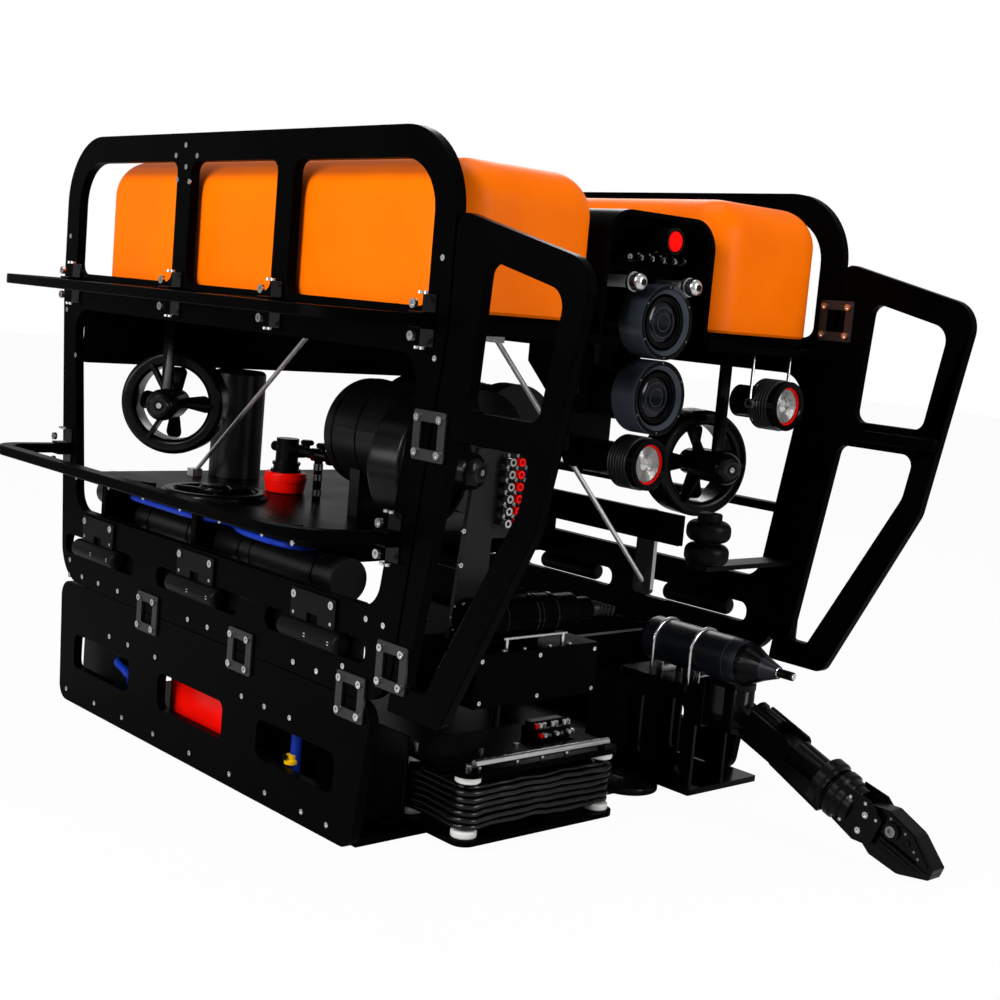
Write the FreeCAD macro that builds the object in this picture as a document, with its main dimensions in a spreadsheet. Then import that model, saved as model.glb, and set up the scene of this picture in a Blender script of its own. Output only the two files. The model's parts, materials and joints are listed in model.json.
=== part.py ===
"""Underwater inspection vehicle with tool skid, as a parametric FreeCAD document.

Frame: millimetres, +X towards the bow, +Y to port, +Z up.
The origin is on the floor, under the middle of the frame.
"""
import FreeCAD
import Part
import Sketcher
import math
import os
import re

from FreeCAD import Placement, Rotation, Vector

ORIGIN = Vector(0, 0, 0)
X_AXIS = Vector(1, 0, 0)
Y_AXIS = Vector(0, 1, 0)
Z_AXIS = Vector(0, 0, 1)
UPRIGHT = Rotation()
ALONG_X = Rotation(Y_AXIS, 90)
ALONG_Y = Rotation(X_AXIS, -90)
ALONG_MINUS_Y = Rotation(X_AXIS, 90)
FULL_TURN = 360
SIDES = (("starboard", -1), ("port", 1))

SIZES = (
    # side plates: one sheet each, standing on the skid panels
    ("half_width", 420), ("plate_thick", 16), ("plate_top", 1002), ("seam_height", 218),
    ("seam_gap", 1.5), ("knee_height", 736), ("rear_reach", 553), ("rear_foot", 503),
    ("fore_reach", 525), ("fore_foot", 460), ("arch_radius", 115), ("foot_radius", 70),
    # windows of the side plates
    ("rim", 44), ("foot_rim", 54), ("band_low", 704), ("band_high", 766),
    ("pillar_width", 42), ("pillar_aft", 157), ("pillar_fore", 131), ("pane_radius", 18),
    ("hatch_low", 350), ("hatch_radius", 40), ("slot_height", 285), ("slot_width", 34),
    ("slot_length", 250), ("slot_radius", 15), ("slot_fore_rim", 54), ("slot_aft_rim", 7),
    # skid panels under the side plates
    ("skid_rear_foot", 490), ("skid_fore_top", 433), ("skid_fore_foot", 405),
    ("skid_radius", 28), ("port_height", 97), ("port_width", 60), ("port_length", 200),
    ("port_pitch", 298), ("port_middle", 44), ("port_radius", 14),
    # guard panels ahead of the side plates
    ("guard_gap", 3), ("guard_top", 893), ("guard_nose", 782), ("guard_peak", 833),
    ("guard_bend", 722), ("bend_height", 505), ("guard_toe", 574), ("guard_radius", 45),
    ("guard_bar", 41), ("guard_bar_height", 618), ("guard_post", 64), ("guard_rim", 46),
    ("guard_foot_rim", 32), ("guard_front_rim", 38), ("guard_leg", 57), ("guard_sill", 259),
    ("guard_rib_width", 18), ("guard_rib_thick", 12),
    # splice brackets
    ("bracket_size", 66), ("bracket_wall", 15), ("bracket_thick", 4),
    ("seam_bracket_pitch", 285), ("seam_bracket_middle", 98),
    ("guard_bracket_low", 280), ("guard_bracket_mid", 599), ("guard_bracket_high", 797),
    # bumper rails round the outside of each plate
    ("rail_reach", 145), ("rail_width", 24), ("rail_thick", 16), ("rail_high", 740),
    ("rail_low", 447), ("rail_rear", 515), ("rail_setback", 25), ("rail_slant", 40),
    ("rail_bend", 55), ("rail_sweep", 110), ("clamp_width", 28), ("clamp_leg", 26), ("clamp_wall", 3),
    # float deck, floats and centre hood
    ("deck_low", 734), ("deck_thick", 12), ("deck_pad", 16), ("deck_inset", 14),
    ("deck_fore", 522), ("deck_aft", 520), ("notch_half", 97), ("notch_depth", 190),
    ("pad_x", 180), ("pad_pitch", 120), ("pad_bore", 5.25),
    ("float_fore", 500), ("float_aft", 470), ("float_gap", 8), ("float_top", 968),
    ("float_round", 62), ("hood_half", 118), ("hood_wall", 9), ("hood_top", 928),
    ("hood_length", 340), ("hood_radius", 48), ("hood_gap", 3),
    # beacon, aiming lasers and connector panel under the hood
    ("beacon_radius", 19), ("beacon_height", 889),
    ("beacon_face", 524), ("laser_radius", 13), ("laser_body", 9), ("laser_spread", 60),
    ("laser_height", 826), ("laser_face", 524), ("panel_face", 440), ("panel_thick", 8),
    ("panel_low", 806), ("panel_arch", 842), ("panel_arch_half", 46), ("tip_radius", 6),
    ("tip_length", 34), ("tip_height", 862), ("tip_pitch", 24), ("tip_count", 5),
    # tilt unit with two cameras and a lamp
    ("tilt_x", 400), ("tilt_height", 660), ("tilt_pin", 8), ("tilt_play", 0.05),
    ("cheek_thick", 8), ("cheek_half", 46), ("cheek_aft", 288), ("cheek_fore", 426),
    ("cheek_low", 628), ("tilt_gap", 0.3), ("spine_thick", 10), ("spine_overlap", 20),
    ("ear_depth", 40), ("ear_half", 20), ("ear_thick", 5),
    ("camera_rise", 111), ("camera_radius", 40), ("camera_length", 92),
    ("camera_hood_radius", 55), ("camera_hood_depth", 46), ("camera_hood_wall", 6),
    ("camera_face", 522), ("lamp_radius", 39), ("lamp_drop", 100), ("lamp_length", 60),
    ("lamp_tail_radius", 26), ("lamp_wall", 5), ("lamp_dish", 26), ("lamp_face", 516),
    # lamp on a wire bail under the port side of the deck
    ("bail_x", 505), ("bail_y", 275), ("bail_drop", 78), ("bail_wire", 2.5),
    ("bail_clear", 3), ("eye_thick", 7), ("eye_radius", 8), ("bail_pin", 4), ("bail_nose", 42),
    ("bail_tail", 58),
    # thrusters
    ("duct_radius", 90), ("duct_bore", 65), ("duct_length", 62), ("motor_radius", 27),
    ("motor_length", 90), ("lip_radius", 9), ("shaft_radius", 5), ("shaft_play", 0.05),
    ("vane_thick", 6), ("hub_radius", 22), ("hub_length", 34),
    ("blade_count", 4), ("blade_radius", 62), ("blade_chord", 40), ("blade_thick", 4),
    ("blade_pitch", 32), ("hub_gap", 0.3),
    ("rear_thruster_x", 350), ("fore_thruster_x", 345), ("thruster_y", 298),
    ("rear_thruster_z", 556), ("fore_thruster_z", 541), ("rear_vector", 45),
    ("fore_vector", 14), ("lift_thruster_x", -190), ("lift_thruster_y", 306),
    ("lift_length", 36), ("lift_rise", 12), ("lift_motor", 26),
    ("hanger_width", 18), ("hanger_thick", 10),
    # decks and cross members
    ("mid_deck_top", 412), ("mid_deck_thick", 12), ("mid_deck_fore", 235),
    ("mid_deck_aft", 500), ("mid_deck_cut", 345), ("rest_fore", 96), ("rest_aft", 400),
    ("rest_low", 310), ("leaf_thick", 8), ("leaf_width", 70), ("leaf_length", 250),
    ("beam_thick", 14), ("beam_low", 610),
    ("floor_low", 0), ("floor_thick", 12), ("floor_fore", 398), ("floor_aft", 470),
    ("sill_low", 222), ("sill_high", 262), ("sill_thick", 14), ("sill_fore", 352),
    ("sill_aft", 480), ("boom_y", 200), ("boom_height", 50), ("boom_thick", 12),
    ("boom_fore", 418), ("boom_aft", 60), ("link_length", 40), ("link_low", 318),
    ("stay_radius", 4), ("stay_foot", 20), ("stay_foot_height", 14), ("stay_y", 200),
    ("stay_aft", 434), ("stay_head", 64), ("brace_x", 336), ("brace_y", 168),
    ("brace_low", 338),
    # pressure housings
    ("bottle_radius", 90), ("bottle_length", 300), ("bottle_x", 120),
    ("port_bottle_x", -60), ("bottle_y", 118),
    ("bottle_z", 545), ("flange_radius", 97), ("flange_length", 14), ("saddle_width", 26),
    ("pipe_radius", 29), ("pipe_length", 600), ("pipe_aft", 350), ("pipe_y", 340),
    ("pipe_z", 352), ("hanger_aft", 30), ("hanger_fore", 480), ("pipe_flange", 34),
    ("pipe_clear", 0.4), ("reservoir_radius", 48),
    ("reservoir_x", 425),
    ("reservoir_y", 120), ("reservoir_length", 200), ("canister_radius", 24),
    ("canister_length", 90),
    # relief valve
    ("valve_x", 225), ("valve_y", 140), ("valve_radius", 20), ("valve_height", 96),
    ("cap_radius", 37), ("cap_height", 36), ("tee_radius", 9), ("tee_overhang", 40),
    # terminal plate
    ("terminal_face", 402), ("terminal_out", 267), ("terminal_slant", 27),
    ("terminal_in", 200), ("bank_width", 62), ("bank_low", 437), ("terminal_thick", 8),
    ("terminal_high", 570), ("plug_radius", 5), ("plug_length", 18), ("plug_rows", 6),
    ("plug_columns", 3), ("plug_pitch", 18),
    # trim weights in the slots
    ("weight_radius", 16), ("weight_length", 150),
    ("strap_length", 110), ("strap_height", 44), ("strap_thick", 4), ("strap_notch", 26),
    # tool box, hoses
    ("box_length", 250), ("box_width", 150), ("box_height", 95), ("box_inset", 24),
    ("hose_radius", 8), ("hose_bend", 30), ("hose_gap", 0.5), ("hose_turn", 45),
    ("hose_y", 293),
    # cable tray
    ("tray_fore", 500), ("tray_aft", 330), ("tray_half", 158), ("tray_middle", 138),
    ("tray_plate", 8), ("tray_radius", 22), ("tray_high", 112), ("bobbin_radius", 19),
    ("bobbin_height", 11), ("post_radius", 7), ("post_inset", 24), ("coil_width", 14),
    ("coil_gap", 1), ("tray_bar", 5), ("bar_lift", 10),
    # actuator and box above the tray
    ("actuator_radius", 31), ("actuator_length", 250), ("actuator_x", 455),
    ("actuator_y", 165), ("actuator_z", 332), ("actuator_neck", 20),
    ("actuator_rest_aft", 38), ("actuator_rest_fore", 125), ("unit_half", 121),
    ("unit_middle", 176), ("unit_height", 78), ("unit_low", 214), ("unit_fore", 500),
    # sonar head and beacon pod
    ("sonar_x", 470), ("sonar_y", 205), ("sonar_radius", 36), ("sonar_neck", 20),
    ("sonar_low", 392), ("lobe_height", 34), ("shelf_thick", 8), ("shelf_half", 22),
    ("pod_radius", 34), ("pod_length", 208), ("pod_aft", 367), ("pod_y", 215),
    ("pod_z", 250), ("pod_cone", 55), ("pod_tip", 7), ("pod_tip_length", 30),
    ("u_wire", 3), ("u_clear", 0.3), ("u_aft", 402), ("u_spread", 80),
    # stand under the pod and the arm
    ("stand_aft", 345), ("stand_fore", 490), ("stand_in", 165), ("stand_out", 372),
    ("stand_plate", 10), ("stand_top", 200), ("web_thick", 6), ("web_spread", 40),
    ("web_rim", 26), ("disc_radius", 52), ("disc_height", 22), ("disc_x", 405),
    ("disc_y", 140),
    # manipulator arm
    ("arm_x", 540), ("arm_y", 240), ("arm_z", 170), ("arm_pitch", 21), ("pin_radius", 8),
    ("pin_play", 0.05), ("joint_gap", 0.3), ("shoulder_radius", 24),
    ("shoulder_half", 30), ("lug_thick", 10), ("lug_half", 40), ("upper_length", 110),
    ("upper_width", 56), ("upper_height", 52), ("upper_wall", 6), ("fork_overhang", 20),
    ("fork_gap", 28), ("fore_length", 110), ("fore_height", 40), ("wrist_radius", 32),
    ("wrist_length", 44), ("wrist_shaft", 26), ("palm_height", 28), ("palm_length", 38),
    ("palm_wall", 5), ("jaw_length", 125), ("jaw_width", 30), ("jaw_pin", 5),
    ("jaw_root", 11), ("jaw_spread", 14), ("jaw_setback", 12), ("jaw_belly", 26), ("jaw_back", 21),
)

doc = FreeCAD.newDocument("inspection_vehicle")
sheet = doc.addObject("Spreadsheet::Sheet", "sizes")
for row, (alias, number) in enumerate(SIZES, start=1):
    sheet.set(f"A{row}", alias)
    sheet.set(f"B{row}", str(number))
    sheet.setAlias(f"B{row}", alias)
doc.recompute()


class Sizes:
    """The spreadsheet's numbers by their names."""

    def __getattr__(self, alias):
        return float(sheet.get(alias))


s = Sizes()
NODES = []
NAME = re.compile(r"\b[a-z][a-z_]*\b(?!\()")


# ---------------------------------------------------------------- helpers

def bind(item, **links):
    """Tie properties of an object to formulas in the sheet's names."""
    for prop, formula in links.items():
        item.setExpression(prop, NAME.sub(lambda word: "sizes." + word.group(), formula))


def node(label, item):
    """Name an object as a sub-part to be written out."""
    item.Label = label
    NODES.append(item)
    return item


def primitive(kind, at, turn=UPRIGHT, **links):
    """A Part primitive with its sizes tied to the sheet."""
    item = doc.addObject("Part::" + kind, kind.lower())
    bind(item, **links)
    item.Placement = Placement(at, turn)
    return item


def rod(radius, length, at, turn=UPRIGHT):
    """A cylinder from a point, along its own Z."""
    return primitive("Cylinder", at, turn, Radius=radius, Height=length)


def block(length, width, height, at, turn=UPRIGHT):
    """A box by its middle in X and Y and its low face in Z."""
    item = primitive("Box", ORIGIN, UPRIGHT, Length=length, Width=width, Height=height)
    doc.recompute([item])
    shift = Vector(-item.Length.Value / 2, -item.Width.Value / 2, 0)
    item.Placement = Placement(at, turn).multiply(Placement(shift, UPRIGHT))
    return item


def fuse(items):
    """Join solids into one."""
    joined = doc.addObject("Part::MultiFuse", "fuse")
    joined.Shapes = items
    joined.Refine = True
    return joined


def cut(base, tool):
    """Take one solid out of another."""
    item = doc.addObject("Part::Cut", "cut")
    item.Base = base
    item.Tool = tool
    return item


def group(items):
    """Keep separate solids together as one sub-part."""
    item = doc.addObject("Part::Compound", "group")
    item.Links = items
    return item


def corner_arc(before, corner, after, radius):
    """Start, middle and end of the round at a corner of an outline."""
    to_before = (before - corner).normalize()
    to_after = (after - corner).normalize()
    half = to_before.getAngle(to_after) / 2
    reach = radius / math.tan(half)
    centre = corner + (to_before + to_after).normalize() * (radius / math.sin(half))
    start = corner + to_before * reach
    end = corner + to_after * reach
    middle = centre + (corner - centre).normalize() * radius
    return start, middle, end


def outline(sketch, corners):
    """Draw a closed outline of (x, y, radius) corners with tangent rounds."""
    points = [Vector(x, y, 0) for x, y, _ in corners]
    first = sketch.GeometryCount
    pieces = []
    last_end = None
    first_start = None
    for index, (_, _, radius) in enumerate(corners):
        corner = points[index]
        if radius > 0:
            after = points[(index + 1) % len(points)]
            start, middle, end = corner_arc(points[index - 1], corner, after, radius)
        else:
            start, middle, end = corner, None, corner
        if last_end is None:
            first_start = start
        else:
            pieces.append(Part.LineSegment(last_end, start))
        if middle is not None:
            pieces.append(Part.Arc(start, middle, end))
        last_end = end
    pieces.append(Part.LineSegment(last_end, first_start))
    sketch.addGeometry(pieces, False)
    join_ends(sketch, first, sketch.GeometryCount)


def join_ends(sketch, first, last):
    """Hold the ends of neighbouring lines and arcs together."""
    for index in range(first, last):
        following = index + 1 if index + 1 < last else first
        for end in (1, 2):
            for start in (1, 2):
                gap = sketch.getPoint(index, end) - sketch.getPoint(following, start)
                if gap.Length < 1e-6:
                    sketch.addConstraint(
                        Sketcher.Constraint("Coincident", index, end, following, start))


def rectangle(x_low, x_high, y_low, y_high, radius):
    """Corners of a rounded rectangle."""
    return ((x_low, y_low, radius), (x_high, y_low, radius),
            (x_high, y_high, radius), (x_low, y_high, radius))


def new_sketch(body, role):
    """A sketch on one of the body's own origin planes."""
    sketch = body.newObject("Sketcher::SketchObject", "profile")
    plane = next(item for item in body.Origin.OriginFeatures if item.Role == role)
    sketch.AttachmentSupport = [(plane, "")]
    sketch.MapMode = "FlatFace"
    return sketch


def padded(role, outlines, thickness, at=ORIGIN, turn=UPRIGHT, circles=()):
    """A body padded from closed outlines; inner outlines are openings."""
    body = doc.addObject("PartDesign::Body", "body")
    sketch = new_sketch(body, role)
    for corners in outlines:
        outline(sketch, corners)
    for x, y, radius in circles:
        sketch.addGeometry(Part.Circle(Vector(x, y, 0), Z_AXIS, radius), False)
    pad = body.newObject("PartDesign::Pad", "pad")
    pad.Profile = sketch
    bind(pad, Length=thickness)
    body.Placement = Placement(at, turn)
    return body


def turned(corners, at, turn=UPRIGHT):
    """A body turned about its own Z from (radius, height, round) corners."""
    body = doc.addObject("PartDesign::Body", "body")
    sketch = new_sketch(body, "XZ_Plane")
    outline(sketch, corners)
    spin = body.newObject("PartDesign::Revolution", "spin")
    spin.Profile = sketch
    spin.ReferenceAxis = (sketch, ["V_Axis"])
    spin.Angle = FULL_TURN
    body.Placement = Placement(at, turn)
    return body


def plane_of(side, outer):
    """Y of the sketch plane of a sheet whose outer face is at that distance."""
    return -(outer - s.plate_thick) if side < 0 else outer


# ---------------------------------------------------------------- outer frame

def edge_at(height, foot, reach):
    """Distance of a side plate's end edge from the middle, at a height."""
    if height >= s.knee_height:
        return reach
    share = (height - s.seam_height) / (s.knee_height - s.seam_height)
    return foot + (reach - foot) * share


def fore_edge(height):
    """X of the front edge of the side plates at a height."""
    return edge_at(height, s.fore_foot, s.fore_reach)


def rear_edge(height):
    """X of the rear edge of the side plates at a height."""
    return -edge_at(height, s.rear_foot, s.rear_reach)


def side_plate(side):
    """Tall side sheet with three panes, one large hatch and three slots."""
    knee = s.pane_radius
    sheet_edge = (
        (-s.rear_foot, s.seam_height, s.foot_radius),
        (s.fore_foot, s.seam_height, s.foot_radius),
        (s.fore_reach, s.knee_height, knee),
        (s.fore_reach, s.plate_top, s.arch_radius),
        (-s.rear_reach, s.plate_top, s.arch_radius),
        (-s.rear_reach, s.knee_height, knee))
    aft_pane = -(s.rear_reach - s.rim)
    fore_pane = s.fore_reach - s.rim
    high = s.plate_top - s.rim
    half = s.pillar_width / 2
    arch = s.arch_radius - s.rim
    small = s.pane_radius
    panes = [
        ((aft_pane, s.band_high, small), (-s.pillar_aft - half, s.band_high, small),
         (-s.pillar_aft - half, high, small), (aft_pane, high, arch)),
        rectangle(-s.pillar_aft + half, s.pillar_fore - half, s.band_high, high, small),
        ((s.pillar_fore + half, s.band_high, small), (fore_pane, s.band_high, small),
         (fore_pane, high, arch), (s.pillar_fore + half, high, small))]
    hatch = (
        (rear_edge(s.hatch_low) + s.foot_rim, s.hatch_low, s.hatch_radius),
        (fore_edge(s.hatch_low) - s.foot_rim, s.hatch_low, s.hatch_radius),
        (fore_edge(s.band_low) - s.rim, s.band_low, s.hatch_radius),
        (rear_edge(s.band_low) + s.rim, s.band_low, s.hatch_radius))
    slots = [slot_outline(place) for place in (-1, 0, 1)]
    at = Vector(0, plane_of(side, s.half_width), 0)
    return padded("XZ_Plane", [sheet_edge, *panes, hatch, *slots], "plate_thick", at)


def slot_x(place):
    """X of the middle of a trim slot, counted from the middle one."""
    aft = -s.rear_foot + s.slot_aft_rim + s.slot_length / 2
    fore = s.fore_foot - s.slot_fore_rim - s.slot_length / 2
    return (aft + fore) / 2 + place * (fore - aft) / 2


def slot_outline(place):
    """Corners of one trim slot."""
    half = s.slot_length / 2
    return rectangle(slot_x(place) - half, slot_x(place) + half,
                     s.slot_height - s.slot_width / 2, s.slot_height + s.slot_width / 2,
                     s.slot_radius)


def skid_panel(side):
    """Low side sheet with three small windows, standing on the floor."""
    top = s.seam_height - s.seam_gap
    sheet_edge = (
        (-s.skid_rear_foot, 0, s.skid_radius), (s.skid_fore_foot, 0, s.skid_radius),
        (s.skid_fore_top, top, s.skid_radius), (-s.rear_foot, top, s.skid_radius))
    windows = []
    for place in (-1, 0, 1):
        middle = -s.port_middle + place * s.port_pitch
        windows.append(rectangle(
            middle - s.port_length / 2, middle + s.port_length / 2,
            s.port_height - s.port_width / 2, s.port_height + s.port_width / 2,
            s.port_radius))
    at = Vector(0, plane_of(side, s.half_width), 0)
    return padded("XZ_Plane", [sheet_edge, *windows], "plate_thick", at)


def guard_rear(height):
    """X of the rear edge of the guard panels at a height."""
    return fore_edge(height) + s.guard_gap


def guard_nose_at(height):
    """X of the front edge of the guard panels at a height."""
    if height >= s.bend_height:
        share = (height - s.bend_height) / (s.guard_peak - s.bend_height)
        return s.guard_bend + (s.guard_nose - s.guard_bend) * share
    share = (height - s.seam_height) / (s.bend_height - s.seam_height)
    return s.guard_toe + (s.guard_bend - s.guard_toe) * share


def guard_panel(side):
    """Two-windowed guard sheet ahead of a side plate, with a rib on its inner face."""
    low = s.seam_height
    rear_top = guard_rear(s.guard_top)
    sheet_edge = (
        (guard_rear(low), low, 0), (s.guard_toe, low, s.guard_radius / 2),
        (s.guard_bend, s.bend_height, s.guard_radius),
        (s.guard_nose, s.guard_peak, s.guard_radius),
        (rear_top, s.guard_top, s.pane_radius), (guard_rear(s.knee_height), s.knee_height, 0))
    slope = (s.guard_top - s.guard_peak) / (s.guard_nose - rear_top)
    bar_top = s.guard_bar_height + s.guard_bar / 2
    bar_low = s.guard_bar_height - s.guard_bar / 2
    fore_high = guard_nose_at(s.guard_peak) - s.guard_rim
    pane_high = s.guard_top - s.guard_rim
    upper = (
        (guard_rear(bar_top) + s.guard_post, bar_top, s.pane_radius),
        (guard_nose_at(bar_top) - s.guard_front_rim, bar_top, s.pane_radius),
        (fore_high, pane_high - slope * (fore_high - rear_top), s.guard_radius - s.pane_radius),
        (rear_top + s.guard_post, pane_high - slope * s.guard_post, s.pane_radius))
    bend_high = s.bend_height + s.guard_rim / 2
    lower = (
        (guard_rear(s.guard_sill) + s.guard_foot_rim, s.guard_sill, s.pane_radius / 2),
        (guard_nose_at(s.guard_sill) - s.guard_leg, s.guard_sill, s.pane_radius / 2),
        (guard_nose_at(bend_high) - s.guard_front_rim, bend_high, s.guard_radius),
        (guard_nose_at(bar_low) - s.guard_front_rim, bar_low, s.pane_radius),
        (guard_rear(bar_low) + s.guard_rim, bar_low, s.pane_radius))
    at = Vector(0, plane_of(side, s.half_width), 0)
    panel = padded("XZ_Plane", [sheet_edge, upper, lower], "plate_thick", at)
    rib_start = guard_rear(s.guard_bar_height) + s.guard_gap
    rib_end = guard_nose_at(s.guard_bar_height) - s.guard_gap
    rib = doc.addObject("Part::Box", "rib")
    bind(rib, Width="guard_rib_thick", Height="guard_rib_width")
    rib.Length = rib_end - rib_start
    inner = s.half_width - s.plate_thick
    rib_y = -inner if side < 0 else inner - s.guard_rib_thick
    rib.Placement.Base = Vector(rib_start, rib_y, s.guard_bar_height - s.guard_rib_width / 2)
    return fuse([panel, rib])


def splice_bracket(x, y, z):
    """Square stainless ring plate on an XZ face, from y towards -Y."""
    half = s.bracket_size / 2
    inner = half - s.bracket_wall
    ring = rectangle(-half, half, -half, half, s.bracket_thick)
    window = rectangle(-inner, inner, -inner, inner, s.bracket_thick / 2)
    return padded("XZ_Plane", [ring, window], "bracket_thick", Vector(x, y, z))


def splice_brackets():
    """Ring plates across the seams of the side, skid and guard sheets."""
    plates = []
    for _, side in SIDES:
        outer = -s.half_width if side < 0 else s.half_width + s.bracket_thick
        inner = s.half_width - s.plate_thick
        inside = -(inner - s.bracket_thick) if side < 0 else inner
        for place in (-1, 0, 1):
            x = s.seam_bracket_middle + place * s.seam_bracket_pitch
            plates.append(splice_bracket(x, outer, s.seam_height))
        for height in (s.guard_bracket_low, s.guard_bracket_mid):
            x = fore_edge(height) + s.guard_gap / 2
            plates.append(splice_bracket(x, outer, height))
        x = fore_edge(s.guard_bracket_high) + s.guard_gap / 2
        plates.append(splice_bracket(x, inside, s.guard_bracket_high))
    return group(plates)


def rail_fore(height):
    """X of the front root of a bumper rail."""
    return fore_edge(height) - s.rail_setback


def rail_arms(height):
    """X of the middles of the two end arms of a bumper rail at the plate."""
    return (-s.rail_rear + s.rail_width / 2, rail_fore(height) - s.rail_width / 2)


def bumper_rail(side, height, middle_arms):
    """Flat bar bent round the outside of a side plate, with optional middle arms."""
    root = side * s.half_width
    far = side * (s.half_width + s.rail_reach)
    near = far - side * s.rail_width
    fore = rail_fore(height)
    lean = math.hypot(s.rail_slant, s.rail_reach) / s.rail_reach
    wide = s.rail_width * lean
    near_share = (s.rail_reach - s.rail_width) / s.rail_reach
    bar = (
        (-s.rail_rear, root, 0), (-s.rail_rear, far, s.rail_bend),
        (fore - s.rail_slant, far, s.rail_sweep), (fore, root, 0), (fore - wide, root, 0),
        (fore - wide - s.rail_slant * near_share, near, s.rail_sweep - s.rail_width),
        (-s.rail_rear + s.rail_width, near, s.rail_bend - s.rail_width),
        (-s.rail_rear + s.rail_width, root, 0))
    body = padded("XY_Plane", [bar], "rail_thick", Vector(0, 0, height))
    half = s.rail_width / 2
    middle_y = (far + near) / 2
    for x in middle_arms:
        sketch = new_sketch(body, "XY_Plane")
        outline(sketch, rectangle(x - half, x + half, min(root, middle_y),
                                  max(root, middle_y), 0))
        pad = body.newObject("PartDesign::Pad", "arm")
        pad.Profile = sketch
        bind(pad, Length="rail_thick")
    return body


def bumper_rails(side):
    """Upper rail with four arms and lower rail with two."""
    upper = bumper_rail(side, s.rail_high, (-s.pillar_aft, s.pillar_fore))
    lower = bumper_rail(side, s.rail_low, ())
    return group([upper, lower])


def rail_clamp(x, side, height, up):
    """Angle piece between a side plate and the top or under side of a rail arm."""
    root = side * s.half_width
    corners = (
        (root, height, 0), (root + side * s.clamp_leg, height, 0),
        (root + side * s.clamp_leg, height + up * s.clamp_wall, 0),
        (root + side * s.clamp_wall, height + up * s.clamp_wall, 0),
        (root + side * s.clamp_wall, height + up * s.clamp_leg, 0),
        (root, height + up * s.clamp_leg, 0))
    return padded("YZ_Plane", [corners], "clamp_width", Vector(x - s.clamp_width / 2, 0, 0))


def rail_clamps():
    """Stainless angles above and below every arm of the rails."""
    clamps = []
    for _, side in SIDES:
        for height in (s.rail_high, s.rail_low):
            arms = list(rail_arms(height))
            if height == s.rail_high:
                arms += [-s.pillar_aft, s.pillar_fore]
            for x in arms:
                clamps.append(rail_clamp(x, side, height + s.rail_thick, 1))
                clamps.append(rail_clamp(x, side, height, -1))
    return group(clamps)


# ---------------------------------------------------------------- buoyancy deck

def deck_top():
    """Height of the top face of the float deck."""
    return s.deck_low + s.deck_thick


def float_bottom():
    """Height of the underside of the floats."""
    return deck_top() + s.deck_pad


def float_inner():
    """Distance of the floats from the middle."""
    return s.hood_half + s.hood_gap


def float_outer():
    """Distance of the outer faces of the floats from the middle."""
    return s.half_width - s.plate_thick - s.float_gap


def float_deck():
    """Deck sheet between the side plates, notched for the cameras, with float pads."""
    edge = s.half_width - s.plate_thick
    notch_end = s.deck_fore - s.notch_depth
    sheet_edge = (
        (-s.deck_aft, -edge, 0), (s.deck_fore, -edge, 0),
        (s.deck_fore, -s.notch_half, 0), (notch_end, -s.notch_half, s.pane_radius),
        (notch_end, s.notch_half, s.pane_radius), (s.deck_fore, s.notch_half, 0),
        (s.deck_fore, edge, 0), (-s.deck_aft, edge, 0))
    half = s.pad_pitch / 2
    bolts = [(-s.pad_x + along * half, across * half, s.pad_bore)
             for along in (-1, 1) for across in (-1, 1)]
    body = padded("XY_Plane", [sheet_edge], "deck_thick", Vector(0, 0, s.deck_low),
                  circles=bolts)
    for _, side in SIDES:
        sketch = new_sketch(body, "XY_Plane")
        near = side * (float_inner() + s.deck_inset)
        far = side * (float_outer() - s.deck_inset)
        outline(sketch, rectangle(-s.float_aft + s.deck_inset, s.float_fore - s.deck_inset,
                                  min(near, far), max(near, far), s.deck_inset))
        pad = body.newObject("PartDesign::Pad", "float_pad")
        pad.Profile = sketch
        bind(pad, Length="deck_thick + deck_pad")
    return body


def round_edges(body, radius, chosen):
    """Fillet the edges of a body that pass a test."""
    doc.recompute()
    base = body.Tip
    names = [f"Edge{count}" for count, edge in enumerate(base.Shape.Edges, 1) if chosen(edge)]
    fillet = body.newObject("PartDesign::Fillet", "rounds")
    fillet.Base = (base, names)
    bind(fillet, Radius=radius)
    return body


def float_block(side):
    """Buoyancy block with broad rounds on its sides and top."""
    near = side * float_inner()
    far = side * float_outer()
    foot = rectangle(-s.float_aft, s.float_fore, min(near, far), max(near, far), 0)
    body = doc.addObject("PartDesign::Body", "body")
    sketch = new_sketch(body, "XY_Plane")
    outline(sketch, foot)
    pad = body.newObject("PartDesign::Pad", "pad")
    pad.Profile = sketch
    bind(pad, Length="float_top - deck_low - deck_thick - deck_pad")
    body.Placement.Base = Vector(0, 0, float_bottom())
    round_edges(body, "float_round", lambda edge: edge.BoundBox.ZMax > edge.CenterOfMass.z
                or edge.CenterOfMass.z > s.float_round)
    return body


def hood_shell():
    """Arched tunnel between the floats, open at the bow and closed aft."""
    outer = s.hood_half
    inner = outer - s.hood_wall
    low = deck_top()
    high = s.hood_top - s.hood_wall
    round_in = s.hood_radius - s.hood_wall
    arch = (
        (-outer, low, 0), (-outer, s.hood_top, s.hood_radius),
        (outer, s.hood_top, s.hood_radius), (outer, low, 0), (inner, low, 0),
        (inner, high, round_in), (-inner, high, round_in), (-inner, low, 0))
    aft = Vector(s.float_fore - s.hood_length, 0, 0)
    body = padded("YZ_Plane", [arch], "hood_length", aft)
    sketch = new_sketch(body, "YZ_Plane")
    outline(sketch, arch[:4])
    wall = body.newObject("PartDesign::Pad", "aft_wall")
    wall.Profile = sketch
    bind(wall, Length="hood_wall")
    return body


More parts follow.
